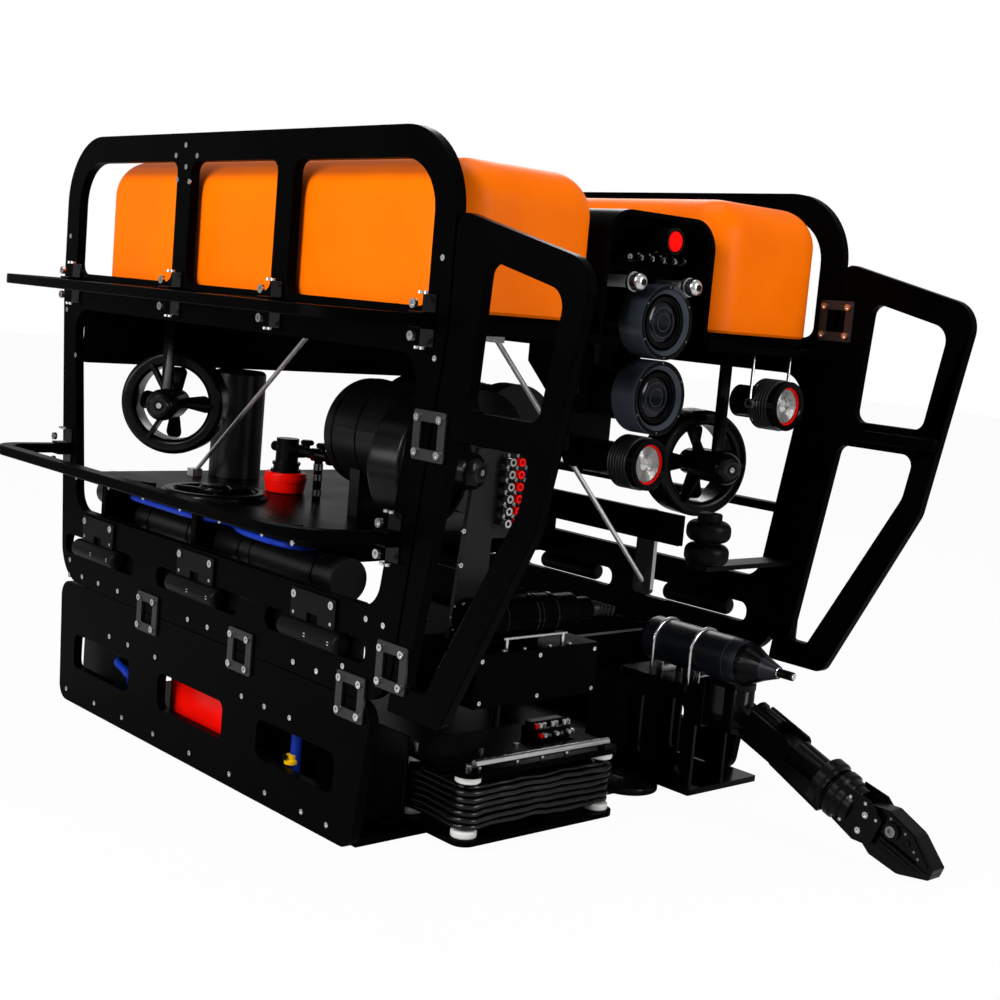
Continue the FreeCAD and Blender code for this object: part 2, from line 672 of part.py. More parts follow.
def connector_panel():
    """Upright panel across the hood, arched over the upper camera, with connectors."""
    inner = s.hood_half - s.hood_wall
    high = s.hood_top - s.hood_wall
    half = s.panel_arch_half
    sheet_edge = (
        (-inner, s.panel_low, 0), (-half, s.panel_low, 0),
        (-half, s.panel_arch, s.pane_radius), (half, s.panel_arch, s.pane_radius),
        (half, s.panel_low, 0), (inner, s.panel_low, 0),
        (inner, high, s.hood_radius - s.hood_wall), (-inner, high, s.hood_radius - s.hood_wall))
    back = s.panel_face - s.panel_thick
    panel = padded("YZ_Plane", [sheet_edge], "panel_thick", Vector(back, 0, 0))
    pieces = [panel]
    count = int(s.tip_count)
    for place in range(count):
        y = (place - (count - 1) / 2) * s.tip_pitch
        pieces.append(rod("tip_radius", "tip_length",
                          Vector(s.panel_face, y, s.tip_height), ALONG_X))
    return group(pieces)


def beacon():
    """Round beacon pointing ahead under the roof of the hood."""
    length = s.beacon_face - s.panel_face
    lens = s.beacon_radius - s.clamp_wall
    profile = (
        (0, 0, 0), (lens, 0, 0), (s.beacon_radius, s.clamp_wall, 0),
        (s.beacon_radius, length, 0), (lens, length, 0), (lens, length - s.clamp_wall, 0),
        (0, length - s.clamp_wall, 0))
    return turned(profile, Vector(s.panel_face, 0, s.beacon_height), ALONG_X)


def aiming_lasers():
    """Two small ball-headed laser pointers beside the upper camera."""
    length = s.laser_face - s.panel_face
    head = length - 2 * s.laser_radius
    profile = (
        (0, 0, 0), (s.laser_body, 0, 0), (s.laser_body, head, 0),
        (s.laser_radius, head, s.clamp_wall), (s.laser_radius, length, s.laser_body),
        (0, length, 0))
    pieces = []
    for _, side in SIDES:
        at = Vector(s.panel_face, side * s.laser_spread, s.laser_height)
        pieces.append(turned(profile, at, ALONG_X))
    return group(pieces)


# ---------------------------------------------------------------- tilt unit

def camera_back():
    """X of the rear faces of the cameras and of the spine's front face."""
    return s.camera_face - s.camera_hood_depth - s.camera_length


def tilt_mount():
    """Two fixed cheeks under the float deck with the tilt bores."""
    cheeks = []
    for _, side in SIDES:
        near = s.cheek_half
        y = -near if side < 0 else near + s.cheek_thick
        sheet_edge = (
            (s.cheek_aft, s.deck_low, 0), (s.cheek_aft, s.deck_low - s.ear_depth, 0),
            (s.tilt_x - s.ear_depth, s.cheek_low, s.pane_radius),
            (s.cheek_fore, s.cheek_low, s.pane_radius),
            (s.cheek_fore, s.deck_low, s.pane_radius))
        bore = [(s.tilt_x, s.tilt_height, s.tilt_pin + s.tilt_play)]
        cheeks.append(padded("XZ_Plane", [sheet_edge], "cheek_thick", Vector(0, y, 0),
                             circles=bore))
    return group(cheeks)


def tilt_frame():
    """Moving spine behind the cameras, with ears and trunnion pins in the cheeks."""
    half = s.cheek_half - s.tilt_gap
    low = s.tilt_height - s.lamp_drop - s.spine_overlap
    high = s.tilt_height + s.camera_rise + s.spine_overlap
    plate = rectangle(-half, half, low, high, s.pane_radius)
    back = camera_back() - s.spine_thick
    spine = padded("YZ_Plane", [plate], "spine_thick", Vector(back, 0, 0))
    pieces = [spine]
    for _, side in SIDES:
        y = -(half - s.ear_thick) if side < 0 else half
        ear = rectangle(back, s.tilt_x + s.ear_half, s.tilt_height - s.ear_half,
                        s.tilt_height + s.ear_half, s.ear_half / 2)
        pieces.append(padded("XZ_Plane", [ear], "ear_thick", Vector(0, y, 0)))
        pin_turn = ALONG_Y if side > 0 else ALONG_MINUS_Y
        start = Vector(s.tilt_x, side * (half - s.ear_thick), s.tilt_height)
        pieces.append(rod("tilt_pin", "cheek_thick + ear_thick + tilt_gap", start, pin_turn))
    return fuse(pieces)


def camera(height):
    """Round camera housing with a deep hood round its lens."""
    hood_start = s.camera_length
    face = s.camera_length + s.camera_hood_depth
    bore = s.camera_hood_radius - s.camera_hood_wall
    lens_height = hood_start + s.camera_hood_wall
    profile = (
        (0, 0, 0), (s.camera_radius, 0, 0), (s.camera_radius, hood_start - s.bracket_wall, 0),
        (s.camera_hood_radius, hood_start, 0), (s.camera_hood_radius, face, 0),
        (bore, face, 0), (bore - s.camera_hood_wall, lens_height, 0), (0, lens_height, 0))
    return turned(profile, Vector(camera_back(), 0, height), ALONG_X)


def lamp_profile(tail):
    """Section of a lamp: narrow tail, finned head and hollow dish."""
    face = tail + s.lamp_length
    rim = s.lamp_radius - s.lamp_wall
    return (
        (0, 0, 0), (s.lamp_tail_radius, 0, 0), (s.lamp_tail_radius, tail, 0),
        (s.lamp_radius, tail + s.bracket_wall, 0), (s.lamp_radius, face, 0), (rim, face, 0),
        (s.lamp_dish / 2, face - s.lamp_dish, 0), (0, face - s.lamp_dish, 0))


def centre_lamp():
    """Lamp at the foot of the tilt unit."""
    tail = s.lamp_face - s.lamp_length - camera_back()
    at = Vector(camera_back(), 0, s.tilt_height - s.lamp_drop)
    return turned(lamp_profile(tail), at, ALONG_X)


def bail_height():
    """Height of the pivot of the port lamp."""
    return s.deck_low - s.bail_drop


def lamp_bail():
    """Two wire legs under the deck with an eye at each end for the lamp's pins."""
    pieces = []
    bore = s.bail_pin + s.tilt_play
    for _, side in SIDES:
        y = s.bail_y + side * (s.lamp_radius + s.bail_clear + s.eye_thick / 2)
        at = Vector(s.bail_x, y, bail_height() + s.bail_pin + s.bail_wire)
        leg = rod("bail_wire", "bail_drop - bail_pin - bail_wire", at)
        eye = padded("XZ_Plane", [], "eye_thick",
                     Vector(s.bail_x, y + s.eye_thick / 2, bail_height()),
                     circles=[(0, 0, s.eye_radius), (0, 0, bore)])
        pieces.append(fuse([leg, eye]))
    return group(pieces)


def port_lamp():
    """Lamp hung in the bail, with a pivot pin on each side."""
    tail = s.bail_nose + s.bail_tail - s.lamp_length
    start = Vector(s.bail_x - s.bail_tail, s.bail_y, bail_height())
    pieces = [turned(lamp_profile(tail), start, ALONG_X)]
    for _, side in SIDES:
        turn = ALONG_Y if side > 0 else ALONG_MINUS_Y
        at = Vector(s.bail_x, s.bail_y + side * (s.lamp_radius - s.lamp_wall), bail_height())
        pieces.append(rod("bail_pin", "lamp_wall + bail_clear + eye_thick", at, turn))
    return fuse(pieces)


# ---------------------------------------------------------------- thrusters

def facing(angle):
    """Rotation that lays a part's own Z level, at an angle from the bow towards port."""
    return Rotation(Z_AXIS, angle).multiply(ALONG_X)


def duct(length, at, turn):
    """Round duct with rolled lips."""
    lip = s.lip_radius
    section = rectangle(s.duct_bore, s.duct_radius, -length / 2, length / 2, lip)
    return turned(section, at, turn)


def motor_pod(length, nose, at, turn):
    """Round motor housing with a domed nose."""
    profile = ((0, 0, 0), (s.motor_radius, 0, 0), (s.motor_radius, length, nose), (0, length, 0))
    return turned(profile, at, turn)


def vanes(start, chord, at, turn):
    """Three flat vanes between a motor housing and its duct."""
    span = s.duct_bore + s.lip_radius - s.motor_radius + s.lip_radius
    pieces = []
    for count in range(3):
        spin = turn.multiply(Rotation(Z_AXIS, 90 + count * FULL_TURN / 3))
        vane = primitive("Box", ORIGIN, UPRIGHT, Width="vane_thick")
        vane.Length = span
        vane.Height = chord
        low = Vector(s.motor_radius - s.lip_radius, -s.vane_thick / 2, start)
        vane.Placement = Placement(at, spin).multiply(Placement(low, UPRIGHT))
        pieces.append(vane)
    return pieces


def thruster(x, y, z, angle):
    """Ducted thruster hung under the float deck: duct, vanes, motor, shaft and hanger."""
    at = Vector(x, y, z)
    turn = facing(angle)
    axis = turn.multVec(Z_AXIS)
    motor_start = s.hub_length / 2 + s.hub_gap
    pod = motor_pod(s.motor_length, s.motor_radius - s.lip_radius, at + axis * motor_start, turn)
    chord = s.duct_length / 2 - motor_start + s.lip_radius
    struts = vanes(motor_start, chord, at, turn)
    shaft = rod("shaft_radius", "hub_length + hub_gap + lip_radius",
                at - axis * (s.hub_length / 2), turn)
    middle = at + axis * (motor_start + s.motor_length / 2)
    hanger = primitive("Box", ORIGIN, UPRIGHT, Length="hanger_thick", Width="hanger_width")
    hanger.Height = s.deck_low - z
    corner = Vector(-s.hanger_thick / 2, -s.hanger_width / 2, 0)
    hanger.Placement = Placement(middle, Rotation(Z_AXIS, angle)).multiply(
        Placement(corner, UPRIGHT))
    return fuse([duct(s.duct_length, at, turn), pod, shaft, hanger, *struts])


def propeller(at, turn, hub, chord):
    """Hub with flat paddle blades at a pitch, bored for the motor shaft."""
    core = primitive("Cylinder", ORIGIN, UPRIGHT, Radius="hub_radius")
    core.Height = hub
    core.Placement = Placement(at, turn).multiply(Placement(Vector(0, 0, -hub / 2), UPRIGHT))
    pieces = [core]
    root = s.hub_radius - s.blade_thick
    for count in range(int(s.blade_count)):
        spin = turn.multiply(Rotation(Z_AXIS, count * FULL_TURN / s.blade_count))
        spin = spin.multiply(Rotation(X_AXIS, s.blade_pitch))
        blade = padded("XY_Plane", [(
            (root, -chord / 4, 0), (s.blade_radius, -chord / 2, chord / 4),
            (s.blade_radius, chord / 2, chord / 4), (root, chord / 4, 0))], "blade_thick")
        blade.Placement = Placement(at, spin).multiply(
            Placement(Vector(0, 0, -s.blade_thick / 2), UPRIGHT))
        pieces.append(blade)
    bore = primitive("Cylinder", ORIGIN, UPRIGHT, Radius="shaft_radius + shaft_play")
    bore.Height = 2 * hub
    bore.Placement = Placement(at, turn).multiply(Placement(Vector(0, 0, -hub), UPRIGHT))
    return cut(fuse(pieces), bore)


def thruster_stations():
    """Name, position and heading of the four vectored thrusters."""
    stations = []
    for name, side in SIDES:
        stations.append((f"rear_{name}", -s.rear_thruster_x, side * s.thruster_y,
                         s.rear_thruster_z, side * s.rear_vector))
        stations.append((f"fore_{name}", s.fore_thruster_x, side * s.thruster_y,
                         s.fore_thruster_z, -side * s.fore_vector))
    return stations


def lift_middle():
    """Height of the middle of the lift ducts."""
    return s.mid_deck_top + s.lift_rise - s.lift_length / 2


def lift_thrusters():
    """Upright ducts in the mid deck, each with a low motor carried on vanes."""
    pieces = []
    hub = s.lift_length / 2
    for _, side in SIDES:
        at = Vector(s.lift_thruster_x, side * s.lift_thruster_y, lift_middle())
        motor_start = s.hub_gap
        pod = motor_pod(s.lift_motor, s.lip_radius, at + Z_AXIS * motor_start, UPRIGHT)
        struts = vanes(motor_start, s.lift_length / 2 - motor_start, at, UPRIGHT)
        shaft = rod("shaft_radius", "lift_length / 2 + lip_radius", at - Z_AXIS * hub)
        pieces.append(fuse([duct(s.lift_length, at, UPRIGHT), pod, shaft, *struts]))
    return group(pieces)


# ---------------------------------------------------------------- decks and members

def leaf(x, length):
    """Outline of a flat leaf-shaped cover at the starboard edge of the mid deck."""
    far = -(s.half_width - s.plate_thick - s.float_gap)
    middle = far + s.leaf_width / 2
    point = s.leaf_width / 2
    return ((x, middle, s.leaf_thick), (x + point * 2, far, s.leaf_width),
            (x + length - point * 2, far, s.leaf_width),
            (x + length, middle, s.leaf_thick),
            (x + length - point * 2, far + s.leaf_width, s.leaf_width),
            (x + point * 2, far + s.leaf_width, s.leaf_width))


def mid_deck():
    """Sheet that carries the housings, with the lift duct openings and two leaf covers."""
    edge = s.half_width - s.plate_thick
    fore = s.mid_deck_fore
    sheet_edge = (
        (-s.mid_deck_aft, -edge, 0), (fore, -edge, s.pane_radius),
        (fore, edge - s.mid_deck_cut, s.pane_radius),
        (fore - s.mid_deck_cut, edge, 0), (-s.mid_deck_aft, edge, 0))
    holes = [(s.lift_thruster_x, side * s.lift_thruster_y, s.duct_radius + s.shaft_play)
             for _, side in SIDES]
    low = s.mid_deck_top - s.mid_deck_thick
    pieces = [padded("XY_Plane", [sheet_edge], "mid_deck_thick", Vector(0, 0, low),
                     circles=holes)]
    clear = s.duct_radius + s.leaf_thick
    starts = ((-s.mid_deck_aft + s.rim, s.lift_thruster_x - clear + s.mid_deck_aft - s.rim),
              (s.lift_thruster_x + clear, s.leaf_length))
    for x, length in starts:
        pieces.append(padded("XY_Plane", [leaf(x, length)], "leaf_thick",
                             Vector(0, 0, s.mid_deck_top)))
    return group(pieces)


def cross_member(x, low, high, thickness, holes=()):
    """Upright sheet from one side plate to the other."""
    edge = s.half_width - s.plate_thick
    sheet_edge = rectangle(-edge, edge, low, high, 0)
    return padded("YZ_Plane", [sheet_edge], thickness, Vector(x, 0, 0), circles=holes)


def cross_members():
    """Floor sheet of the skid, sills at the seams, rear beam and deck struts."""
    edge = s.half_width - s.plate_thick
    floor = padded("XY_Plane", [rectangle(-s.floor_aft, s.floor_fore, -edge, edge, 0)],
                   "floor_thick", Vector(0, 0, s.floor_low))
    fore_sill = cross_member(s.sill_fore, s.sill_low, s.sill_high, "sill_thick")
    aft_sill = cross_member(-s.sill_aft, s.sill_low, s.sill_high, "sill_thick")
    beam = cross_member(-s.mid_deck_aft, s.beam_low, s.deck_low, "beam_thick")
    boom = padded("XZ_Plane", [rectangle(
        -s.boom_aft, s.boom_fore, s.mid_deck_top, s.mid_deck_top + s.boom_height,
        s.seam_gap)], "boom_thick", Vector(0, s.boom_y + s.boom_thick / 2, 0))
    under = s.mid_deck_top - s.mid_deck_thick
    holes = [(-s.pipe_y, s.pipe_z, s.pipe_radius + s.pipe_clear),
             (-s.hose_y, hose_height(), s.hose_radius + s.pipe_clear)]
    rest_fore = cross_member(-s.rest_fore, s.rest_low, under, "beam_thick", holes)
    rest_aft = cross_member(-s.rest_aft, s.rest_low, under, "beam_thick")
    return group([floor, fore_sill, aft_sill, beam, boom, rest_fore, rest_aft])


def stay(start, end, feet):
    """Round stay between two points, with a square foot against each level face."""
    ahead = end - start
    rod_body = primitive("Cylinder", start, Rotation(Z_AXIS, ahead), Radius="stay_radius")
    rod_body.Height = ahead.Length
    pieces = [rod_body]
    for at in feet:
        pieces.append(block("stay_foot", "stay_foot", "stay_foot_height", at))
    return fuse(pieces)


def stay_rods():
    """Long stay from the mid deck to the float deck, and the brace and link at the boom."""
    rise = s.stay_foot_height / 2
    low = Vector(-s.stay_aft, -s.stay_y, s.mid_deck_top)
    high = Vector(-s.stay_head, -s.stay_y, s.deck_low)
    long_stay = stay(low + Z_AXIS * rise, high - Z_AXIS * rise,
                     (low, high - Z_AXIS * s.stay_foot_height))
    face = s.boom_y + s.boom_thick / 2
    link = padded("XZ_Plane", [rectangle(
        s.brace_x - s.link_length / 2, s.brace_x + s.link_length / 2, s.link_low,
        s.mid_deck_top + s.boom_height, s.lip_radius)], "terminal_thick",
        Vector(0, face + s.terminal_thick, 0))
    foot = Vector(s.brace_x, face + s.terminal_thick / 2, s.brace_low)
    head = Vector(s.brace_x, -s.brace_y, s.deck_low)
    brace = stay(foot, head - Z_AXIS * rise, (head - Z_AXIS * s.stay_foot_height,))
    return group([long_stay, fuse([link, brace])])


# ---------------------------------------------------------------- pressure housings

def main_bottles():
    """Pair of large pressure bottles with end flanges, on saddles on the mid deck."""
    flange = s.flange_length
    groove = s.bottle_radius
    length = s.bottle_length
    profile = (
        (0, 0, 0), (groove, 0, s.lip_radius), (groove, length - 3 * flange, 0),
        (s.flange_radius, length - 3 * flange, 0), (s.flange_radius, length - 2 * flange, 0),
        (groove, length - 2 * flange, 0), (groove, length - flange, 0),
        (s.flange_radius, length - flange, 0), (s.flange_radius, length, 0), (0, length, 0))
    pieces = []
    for _, side in SIDES:
        y = side * s.bottle_y
        middle = s.bottle_x if side < 0 else s.port_bottle_x
        start = Vector(middle - s.bottle_length / 2, y, s.bottle_z)
        pieces.append(turned(profile, start, ALONG_X))
        for end in (-1, 1):
            x = middle + end * s.bottle_length / 4
            rest = block("saddle_width", "2 * bottle_radius - 4 * lip_radius",
                         "bottle_z - mid_deck_top - bottle_radius / 2",
                         Vector(x, y, s.mid_deck_top))
            hollow = rod("bottle_radius + seam_gap / 4", "saddle_width * 2",
                         Vector(x - s.saddle_width, y, s.bottle_z), ALONG_X)
            pieces.append(cut(rest, hollow))
    return group(pieces)


def side_housings():
    """Long tube and its end flange under the mid deck, reservoir and small canister."""
    flange = s.flange_length
    tube = (
        (0, 0, 0), (s.pipe_radius, 0, s.lip_radius),
        (s.pipe_radius, s.pipe_length - flange, 0), (s.pipe_flange, s.pipe_length - flange, 0),
        (s.pipe_flange, s.pipe_length, 0), (0, s.pipe_length, 0))
    start = Vector(-s.pipe_aft, -s.pipe_y, s.pipe_z)
    pieces = [turned(tube, start, ALONG_X)]
    top = s.mid_deck_top - s.mid_deck_thick
    for place in (s.hanger_aft, s.hanger_fore):
        x = -s.pipe_aft + place
        hanger = block("saddle_width", "pipe_radius", "mid_deck_top - mid_deck_thick - pipe_z",
                       Vector(x, -s.pipe_y, s.pipe_z))
        hollow = rod("pipe_radius + seam_gap / 4", "saddle_width * 2",
                     Vector(x - s.saddle_width, -s.pipe_y, s.pipe_z), ALONG_X)
        pieces.append(cut(hanger, hollow))
    tank = (
        (0, 0, 0), (s.reservoir_radius, 0, 0),
        (s.reservoir_radius, s.reservoir_length, s.lip_radius), (0, s.reservoir_length, 0))
    pieces.append(turned(tank, Vector(-s.reservoir_x, -s.reservoir_y, s.mid_deck_top)))
    canister = (
        (0, 0, 0), (s.canister_radius, 0, s.clamp_wall),
        (s.canister_radius, s.canister_length, s.clamp_wall), (0, s.canister_length, 0))
    at = Vector(-s.mid_deck_aft, -s.pipe_y, top - s.canister_radius)
    pieces.append(turned(canister, at, ALONG_X))
    return group(pieces)


def relief_valve():
    """Upright valve stem with a cross pipe that ends at the starboard bottle."""
    base = s.mid_deck_top + s.cap_height
    x = -s.valve_x
    y = -s.valve_y
    stem = rod("valve_radius", "valve_height - cap_height", Vector(x, y, base))
    height = base + s.valve_height - s.cap_height - 2 * s.tee_radius
    start = Vector(x - s.tee_overhang, y, height)
    bottle_end = s.bottle_x - s.bottle_length / 2
    pipe = primitive("Cylinder", start, ALONG_X, Radius="tee_radius")
    pipe.Height = bottle_end - start.x
    drop_x = x + (bottle_end - x) / 2
    fitting = rod("tee_radius / 2 + clamp_wall", "valve_height - 2 * tee_radius",
                  Vector(drop_x, y, s.mid_deck_top))
    return fuse([stem, pipe, fitting])


def valve_cap():
    """Ribbed cup under the valve stem, standing on the mid deck."""
    at = Vector(-s.valve_x, -s.valve_y, s.mid_deck_top)
    profile = (
        (0, 0, 0), (s.cap_radius - s.clamp_wall, 0, s.clamp_wall),
        (s.cap_radius, s.cap_height / 2, 0), (s.cap_radius, s.cap_height, s.clamp_wall),
        (0, s.cap_height, 0))
    return turned(profile, at)


def terminal_plate():
    """Upright plate on the front box, with rows of connectors on its inboard wing."""
    low = s.unit_low + s.unit_height
    inner = -s.terminal_in
    wing = inner + s.bank_width
    sheet_edge = (
        (-s.terminal_out, low, 0), (inner, low, 0), (inner, s.bank_low, s.clamp_wall),
        (wing, s.bank_low, s.clamp_wall), (wing, s.terminal_high, s.clamp_wall),
        (-s.terminal_out + s.terminal_slant, s.terminal_high, s.clamp_wall))
    back = s.terminal_face - s.terminal_thick
    pieces = [padded("YZ_Plane", [sheet_edge], "terminal_thick", Vector(back, 0, 0))]
    for row in range(int(s.plug_rows)):
        for column in range(int(s.plug_columns)):
            y = inner + (column + 1 / 2) * s.plug_pitch
            z = s.terminal_high - (row + 1) * s.plug_pitch
            pieces.append(rod("plug_radius", "plug_length", Vector(s.terminal_face, y, z),
                              ALONG_X))
    return group(pieces)


# ---------------------------------------------------------------- trim and tool box

def trim_weights():
    """Round weights lying in the slots, each hung from a notched strap plate."""
    pieces = []
    outer = s.half_width
    for _, side in SIDES:
        for place in (-1, 0, 1):
            x = slot_x(place)
            start = Vector(x - s.weight_length / 2, side * outer, s.slot_height)
            profile = (
                (0, 0, 0), (s.weight_radius, 0, s.weight_radius / 2),
                (s.weight_radius, s.weight_length, s.weight_radius / 2),
                (0, s.weight_length, 0))
            pieces.append(turned(profile, start, ALONG_X))
            half = s.strap_length / 2
            notch = s.strap_notch / 2
            low = s.slot_height + s.weight_radius
            high = low + s.strap_height
            strap = (
                (x - half, low, 0), (x - notch, low, 0), (x - notch, low + notch, 0),
                (x + notch, low + notch, 0), (x + notch, low, 0), (x + half, low, 0),
                (x + half, high, s.clamp_wall), (x - half, high, s.clamp_wall))
            y = -outer if side < 0 else outer + s.strap_thick
            pieces.append(padded("XZ_Plane", [strap], "strap_thick", Vector(0, y, 0)))
    return group(pieces)


def tool_box():
    """Box on the skid floor behind the middle window."""
    inner = s.half_width - s.plate_thick - s.box_inset
    y = -inner + s.box_width / 2
    floor_top = s.floor_low + s.floor_thick
    return block("box_length", "box_width", "box_height",
                 Vector(-s.port_middle, y, floor_top))


def run_along(points, bend, radius):
    """Round hose along straight runs joined by tangent arcs."""
    edges = []
    start = points[0]
    for index in range(1, len(points) - 1):
        arc_start, middle, arc_end = corner_arc(
            points[index - 1], points[index], points[index + 1], bend)
        edges.append(Part.LineSegment(start, arc_start).toShape())
        edges.append(Part.Arc(arc_start, middle, arc_end).toShape())
        start = arc_end
    edges.append(Part.LineSegment(start, points[-1]).toShape())
    path = Part.Wire(edges)
    ahead = points[1] - points[0]
    section = Part.Wire(Part.makeCircle(radius, points[0], ahead))
    pipe = path.makePipeShell([section], True, False)
    item = doc.addObject("Part::Feature", "hose")
    item.Shape = pipe
    return item


def hose_height():
    """Height of the hose that runs under the mid deck and the lift ducts."""
    return lift_middle() - s.lift_length / 2 - s.hose_radius - s.hose_gap


def hoses():
    """Blue hydraulic hoses: one under the mid deck, two that rise from the skid floor."""
    high = hose_height()
    box_top = floor_top() + s.box_height
    aft = -s.rest_aft + s.beam_thick
    upper = [
        Vector(aft, -s.hose_y, high), Vector(s.hose_turn, -s.hose_y, high),
        Vector(s.hose_turn, -s.hose_y, box_top)]
    floor = floor_top()
    inner = s.half_width - s.plate_thick - 3 * s.hose_radius
    routes = [upper]
    crest = s.seam_height - 2 * s.hose_radius
    for place, height in ((1, crest), (-1, s.port_height)):
        x = -s.port_middle + place * (s.port_pitch - s.port_length / 4)
        routes.append([
            Vector(x, -inner, floor), Vector(x, -inner, height),
            Vector(x, s.box_inset, height), Vector(x, s.box_inset, floor)])
    return group([run_along(route, s.hose_bend, s.hose_radius) for route in routes])


# ---------------------------------------------------------------- cable tray and front unit

def floor_top():
    """Height of the top of the skid floor."""
    return s.floor_low + s.floor_thick


def tray_corners(inset, radius):
    """Plan corners of the tray, drawn in by an inset."""
    return rectangle(s.tray_aft + inset, s.tray_fore - inset,
                     -s.tray_middle - s.tray_half + inset,
                     -s.tray_middle + s.tray_half - inset, radius)


def tray_posts():
    """Plan positions of the four posts of the tray."""
    return [(x, y) for x, y, _ in tray_corners(s.post_inset, 0)]


def cable_tray():
    """Two plates on four posts, with a bar across the front."""
    edge = tray_corners(0, s.tray_radius)
    base = padded("XY_Plane", [edge], "tray_plate", Vector(0, 0, floor_top()))
    lid = padded("XY_Plane", [edge], "tray_plate", Vector(0, 0, s.tray_high))
    pieces = [base, lid]
    foot = floor_top() + s.tray_plate
    for x, y in tray_posts():
        post = rod("post_radius", "tray_high - floor_low - floor_thick - tray_plate",
                   Vector(x, y, foot))
        pieces.append(post)
    lid_top = s.tray_high + s.tray_plate
    inset = s.post_inset
    low_y = -s.tray_middle - s.tray_half + inset
    bar_x = s.tray_fore - inset / 2
    bar = [rod("tray_bar", "2 * tray_half - 2 * post_inset",
               Vector(bar_x, low_y, lid_top + s.bar_lift), ALONG_Y)]
    for end in (low_y + inset / 2, low_y + 2 * (s.tray_half - inset) - inset / 2):
        bar.append(block("2 * tray_bar", "tray_bar", "bar_lift", Vector(bar_x, end, lid_top)))
    pieces.append(fuse(bar))
    return group(pieces)


def tray_bobbins():
    """White rollers at the top and the foot of each post."""
    pieces = []
    foot = floor_top() + s.tray_plate
    bore = s.post_radius + s.shaft_play
    for x, y in tray_posts():
        for low in (foot, s.tray_high - s.bobbin_height):
            pieces.append(turned((
                (bore, 0, 0), (s.bobbin_radius, 0, s.clamp_wall),
                (s.bobbin_radius, s.bobbin_height, s.clamp_wall), (bore, s.bobbin_height, 0)),
                Vector(x, y, low)))
    return group(pieces)


def tray_cable():
    """Outer shape of the cable wound round the posts between the rollers."""
    low = floor_top() + s.tray_plate + s.bobbin_height + s.coil_gap / 2
    loop = s.post_radius + s.coil_gap / 2
    inner = s.post_inset - loop
    body = doc.addObject("PartDesign::Body", "body")
    sketch = new_sketch(body, "XY_Plane")
    outline(sketch, tray_corners(inner - s.coil_width, loop + s.coil_width))
    outline(sketch, tray_corners(inner, loop))
    pad = body.newObject("PartDesign::Pad", "pad")
    pad.Profile = sketch
    bind(pad, Length="tray_high - floor_low - floor_thick - tray_plate"
                     " - 2 * bobbin_height - coil_gap")
    body.Placement.Base = Vector(0, 0, low)
    return body


def front_unit():
    """Sealed box on the fore sill, with a round actuator above it on two saddles."""
    back = s.sill_fore + s.sill_thick
    low_y = -s.unit_middle - s.unit_half
    high_y = -s.unit_middle + s.unit_half
    box = padded("XY_Plane", [rectangle(back, s.unit_fore, low_y, high_y, s.clamp_wall)],
                 "unit_height", Vector(0, 0, s.unit_low))
    half = s.actuator_length / 2
    neck = s.actuator_length * 2 / 3
    profile = (
        (0, 0, 0), (s.actuator_radius, 0, s.lip_radius), (s.actuator_radius, neck, 0),
        (s.actuator_radius - s.clamp_wall, neck, 0),
        (s.actuator_radius - s.clamp_wall, neck + s.rim, s.clamp_wall),
        (s.actuator_neck, neck + s.rim, 0), (s.actuator_neck, s.actuator_length, s.lip_radius),
        (0, s.actuator_length, 0))
    start = Vector(s.actuator_x, -s.actuator_y - half, s.actuator_z)
    pieces = [box, turned(profile, start, ALONG_Y)]
    top = s.unit_low + s.unit_height
    for place in (s.actuator_rest_aft, s.actuator_rest_fore):
        y = start.y + place
        rest = block("actuator_radius", "saddle_width",
                     "actuator_z - unit_low - unit_height", Vector(s.actuator_x, y, top))
        hollow = rod("actuator_radius + seam_gap / 4", "saddle_width * 2",
                     Vector(s.actuator_x, y - s.saddle_width, s.actuator_z), ALONG_Y)
        pieces.append(cut(rest, hollow))
    return group(pieces)


# ---------------------------------------------------------------- sonar, pod and stand

def sonar_head():
    """Two-lobed sonar head on a shelf from the port side plate."""
    shelf_edge = s.half_width - s.plate_thick
    shelf = padded("XY_Plane", [rectangle(
        s.sonar_x - s.shelf_half, s.sonar_x + s.shelf_half,
        s.sonar_y - s.shelf_half, shelf_edge, 0)], "shelf_thick",
        Vector(0, 0, s.sonar_low - s.shelf_thick))
    lobe = s.lobe_height
    soft = lobe / 2 - s.clamp_wall
    profile = (
        (0, 0, 0), (s.sonar_radius, 0, soft), (s.sonar_radius, lobe, soft),
        (s.sonar_neck, lobe, 0), (s.sonar_neck, lobe + s.clamp_wall, 0),
        (s.sonar_radius, lobe + s.clamp_wall, soft),
        (s.sonar_radius, 2 * lobe + s.clamp_wall, soft), (s.sonar_neck, 2 * lobe + s.clamp_wall, 0),
        (s.sonar_neck, 2 * lobe + s.bracket_wall, s.clamp_wall),
        (0, 2 * lobe + s.bracket_wall, 0))
    head = turned(profile, Vector(s.sonar_x, s.sonar_y, s.sonar_low))
    return group([shelf, head])


def beacon_pod():
    """Round location beacon with a coned nose and a small tip."""
    end = s.pod_length + s.pod_cone
    profile = (
        (0, 0, 0), (s.pod_radius, 0, s.clamp_wall), (s.pod_radius, s.pod_length, 0),
        (s.pod_tip, end, 0), (s.pod_tip, end + s.pod_tip_length, s.clamp_wall),
        (0, end + s.pod_tip_length, 0))
    return turned(profile, Vector(s.pod_aft, s.pod_y, s.pod_z), ALONG_X)


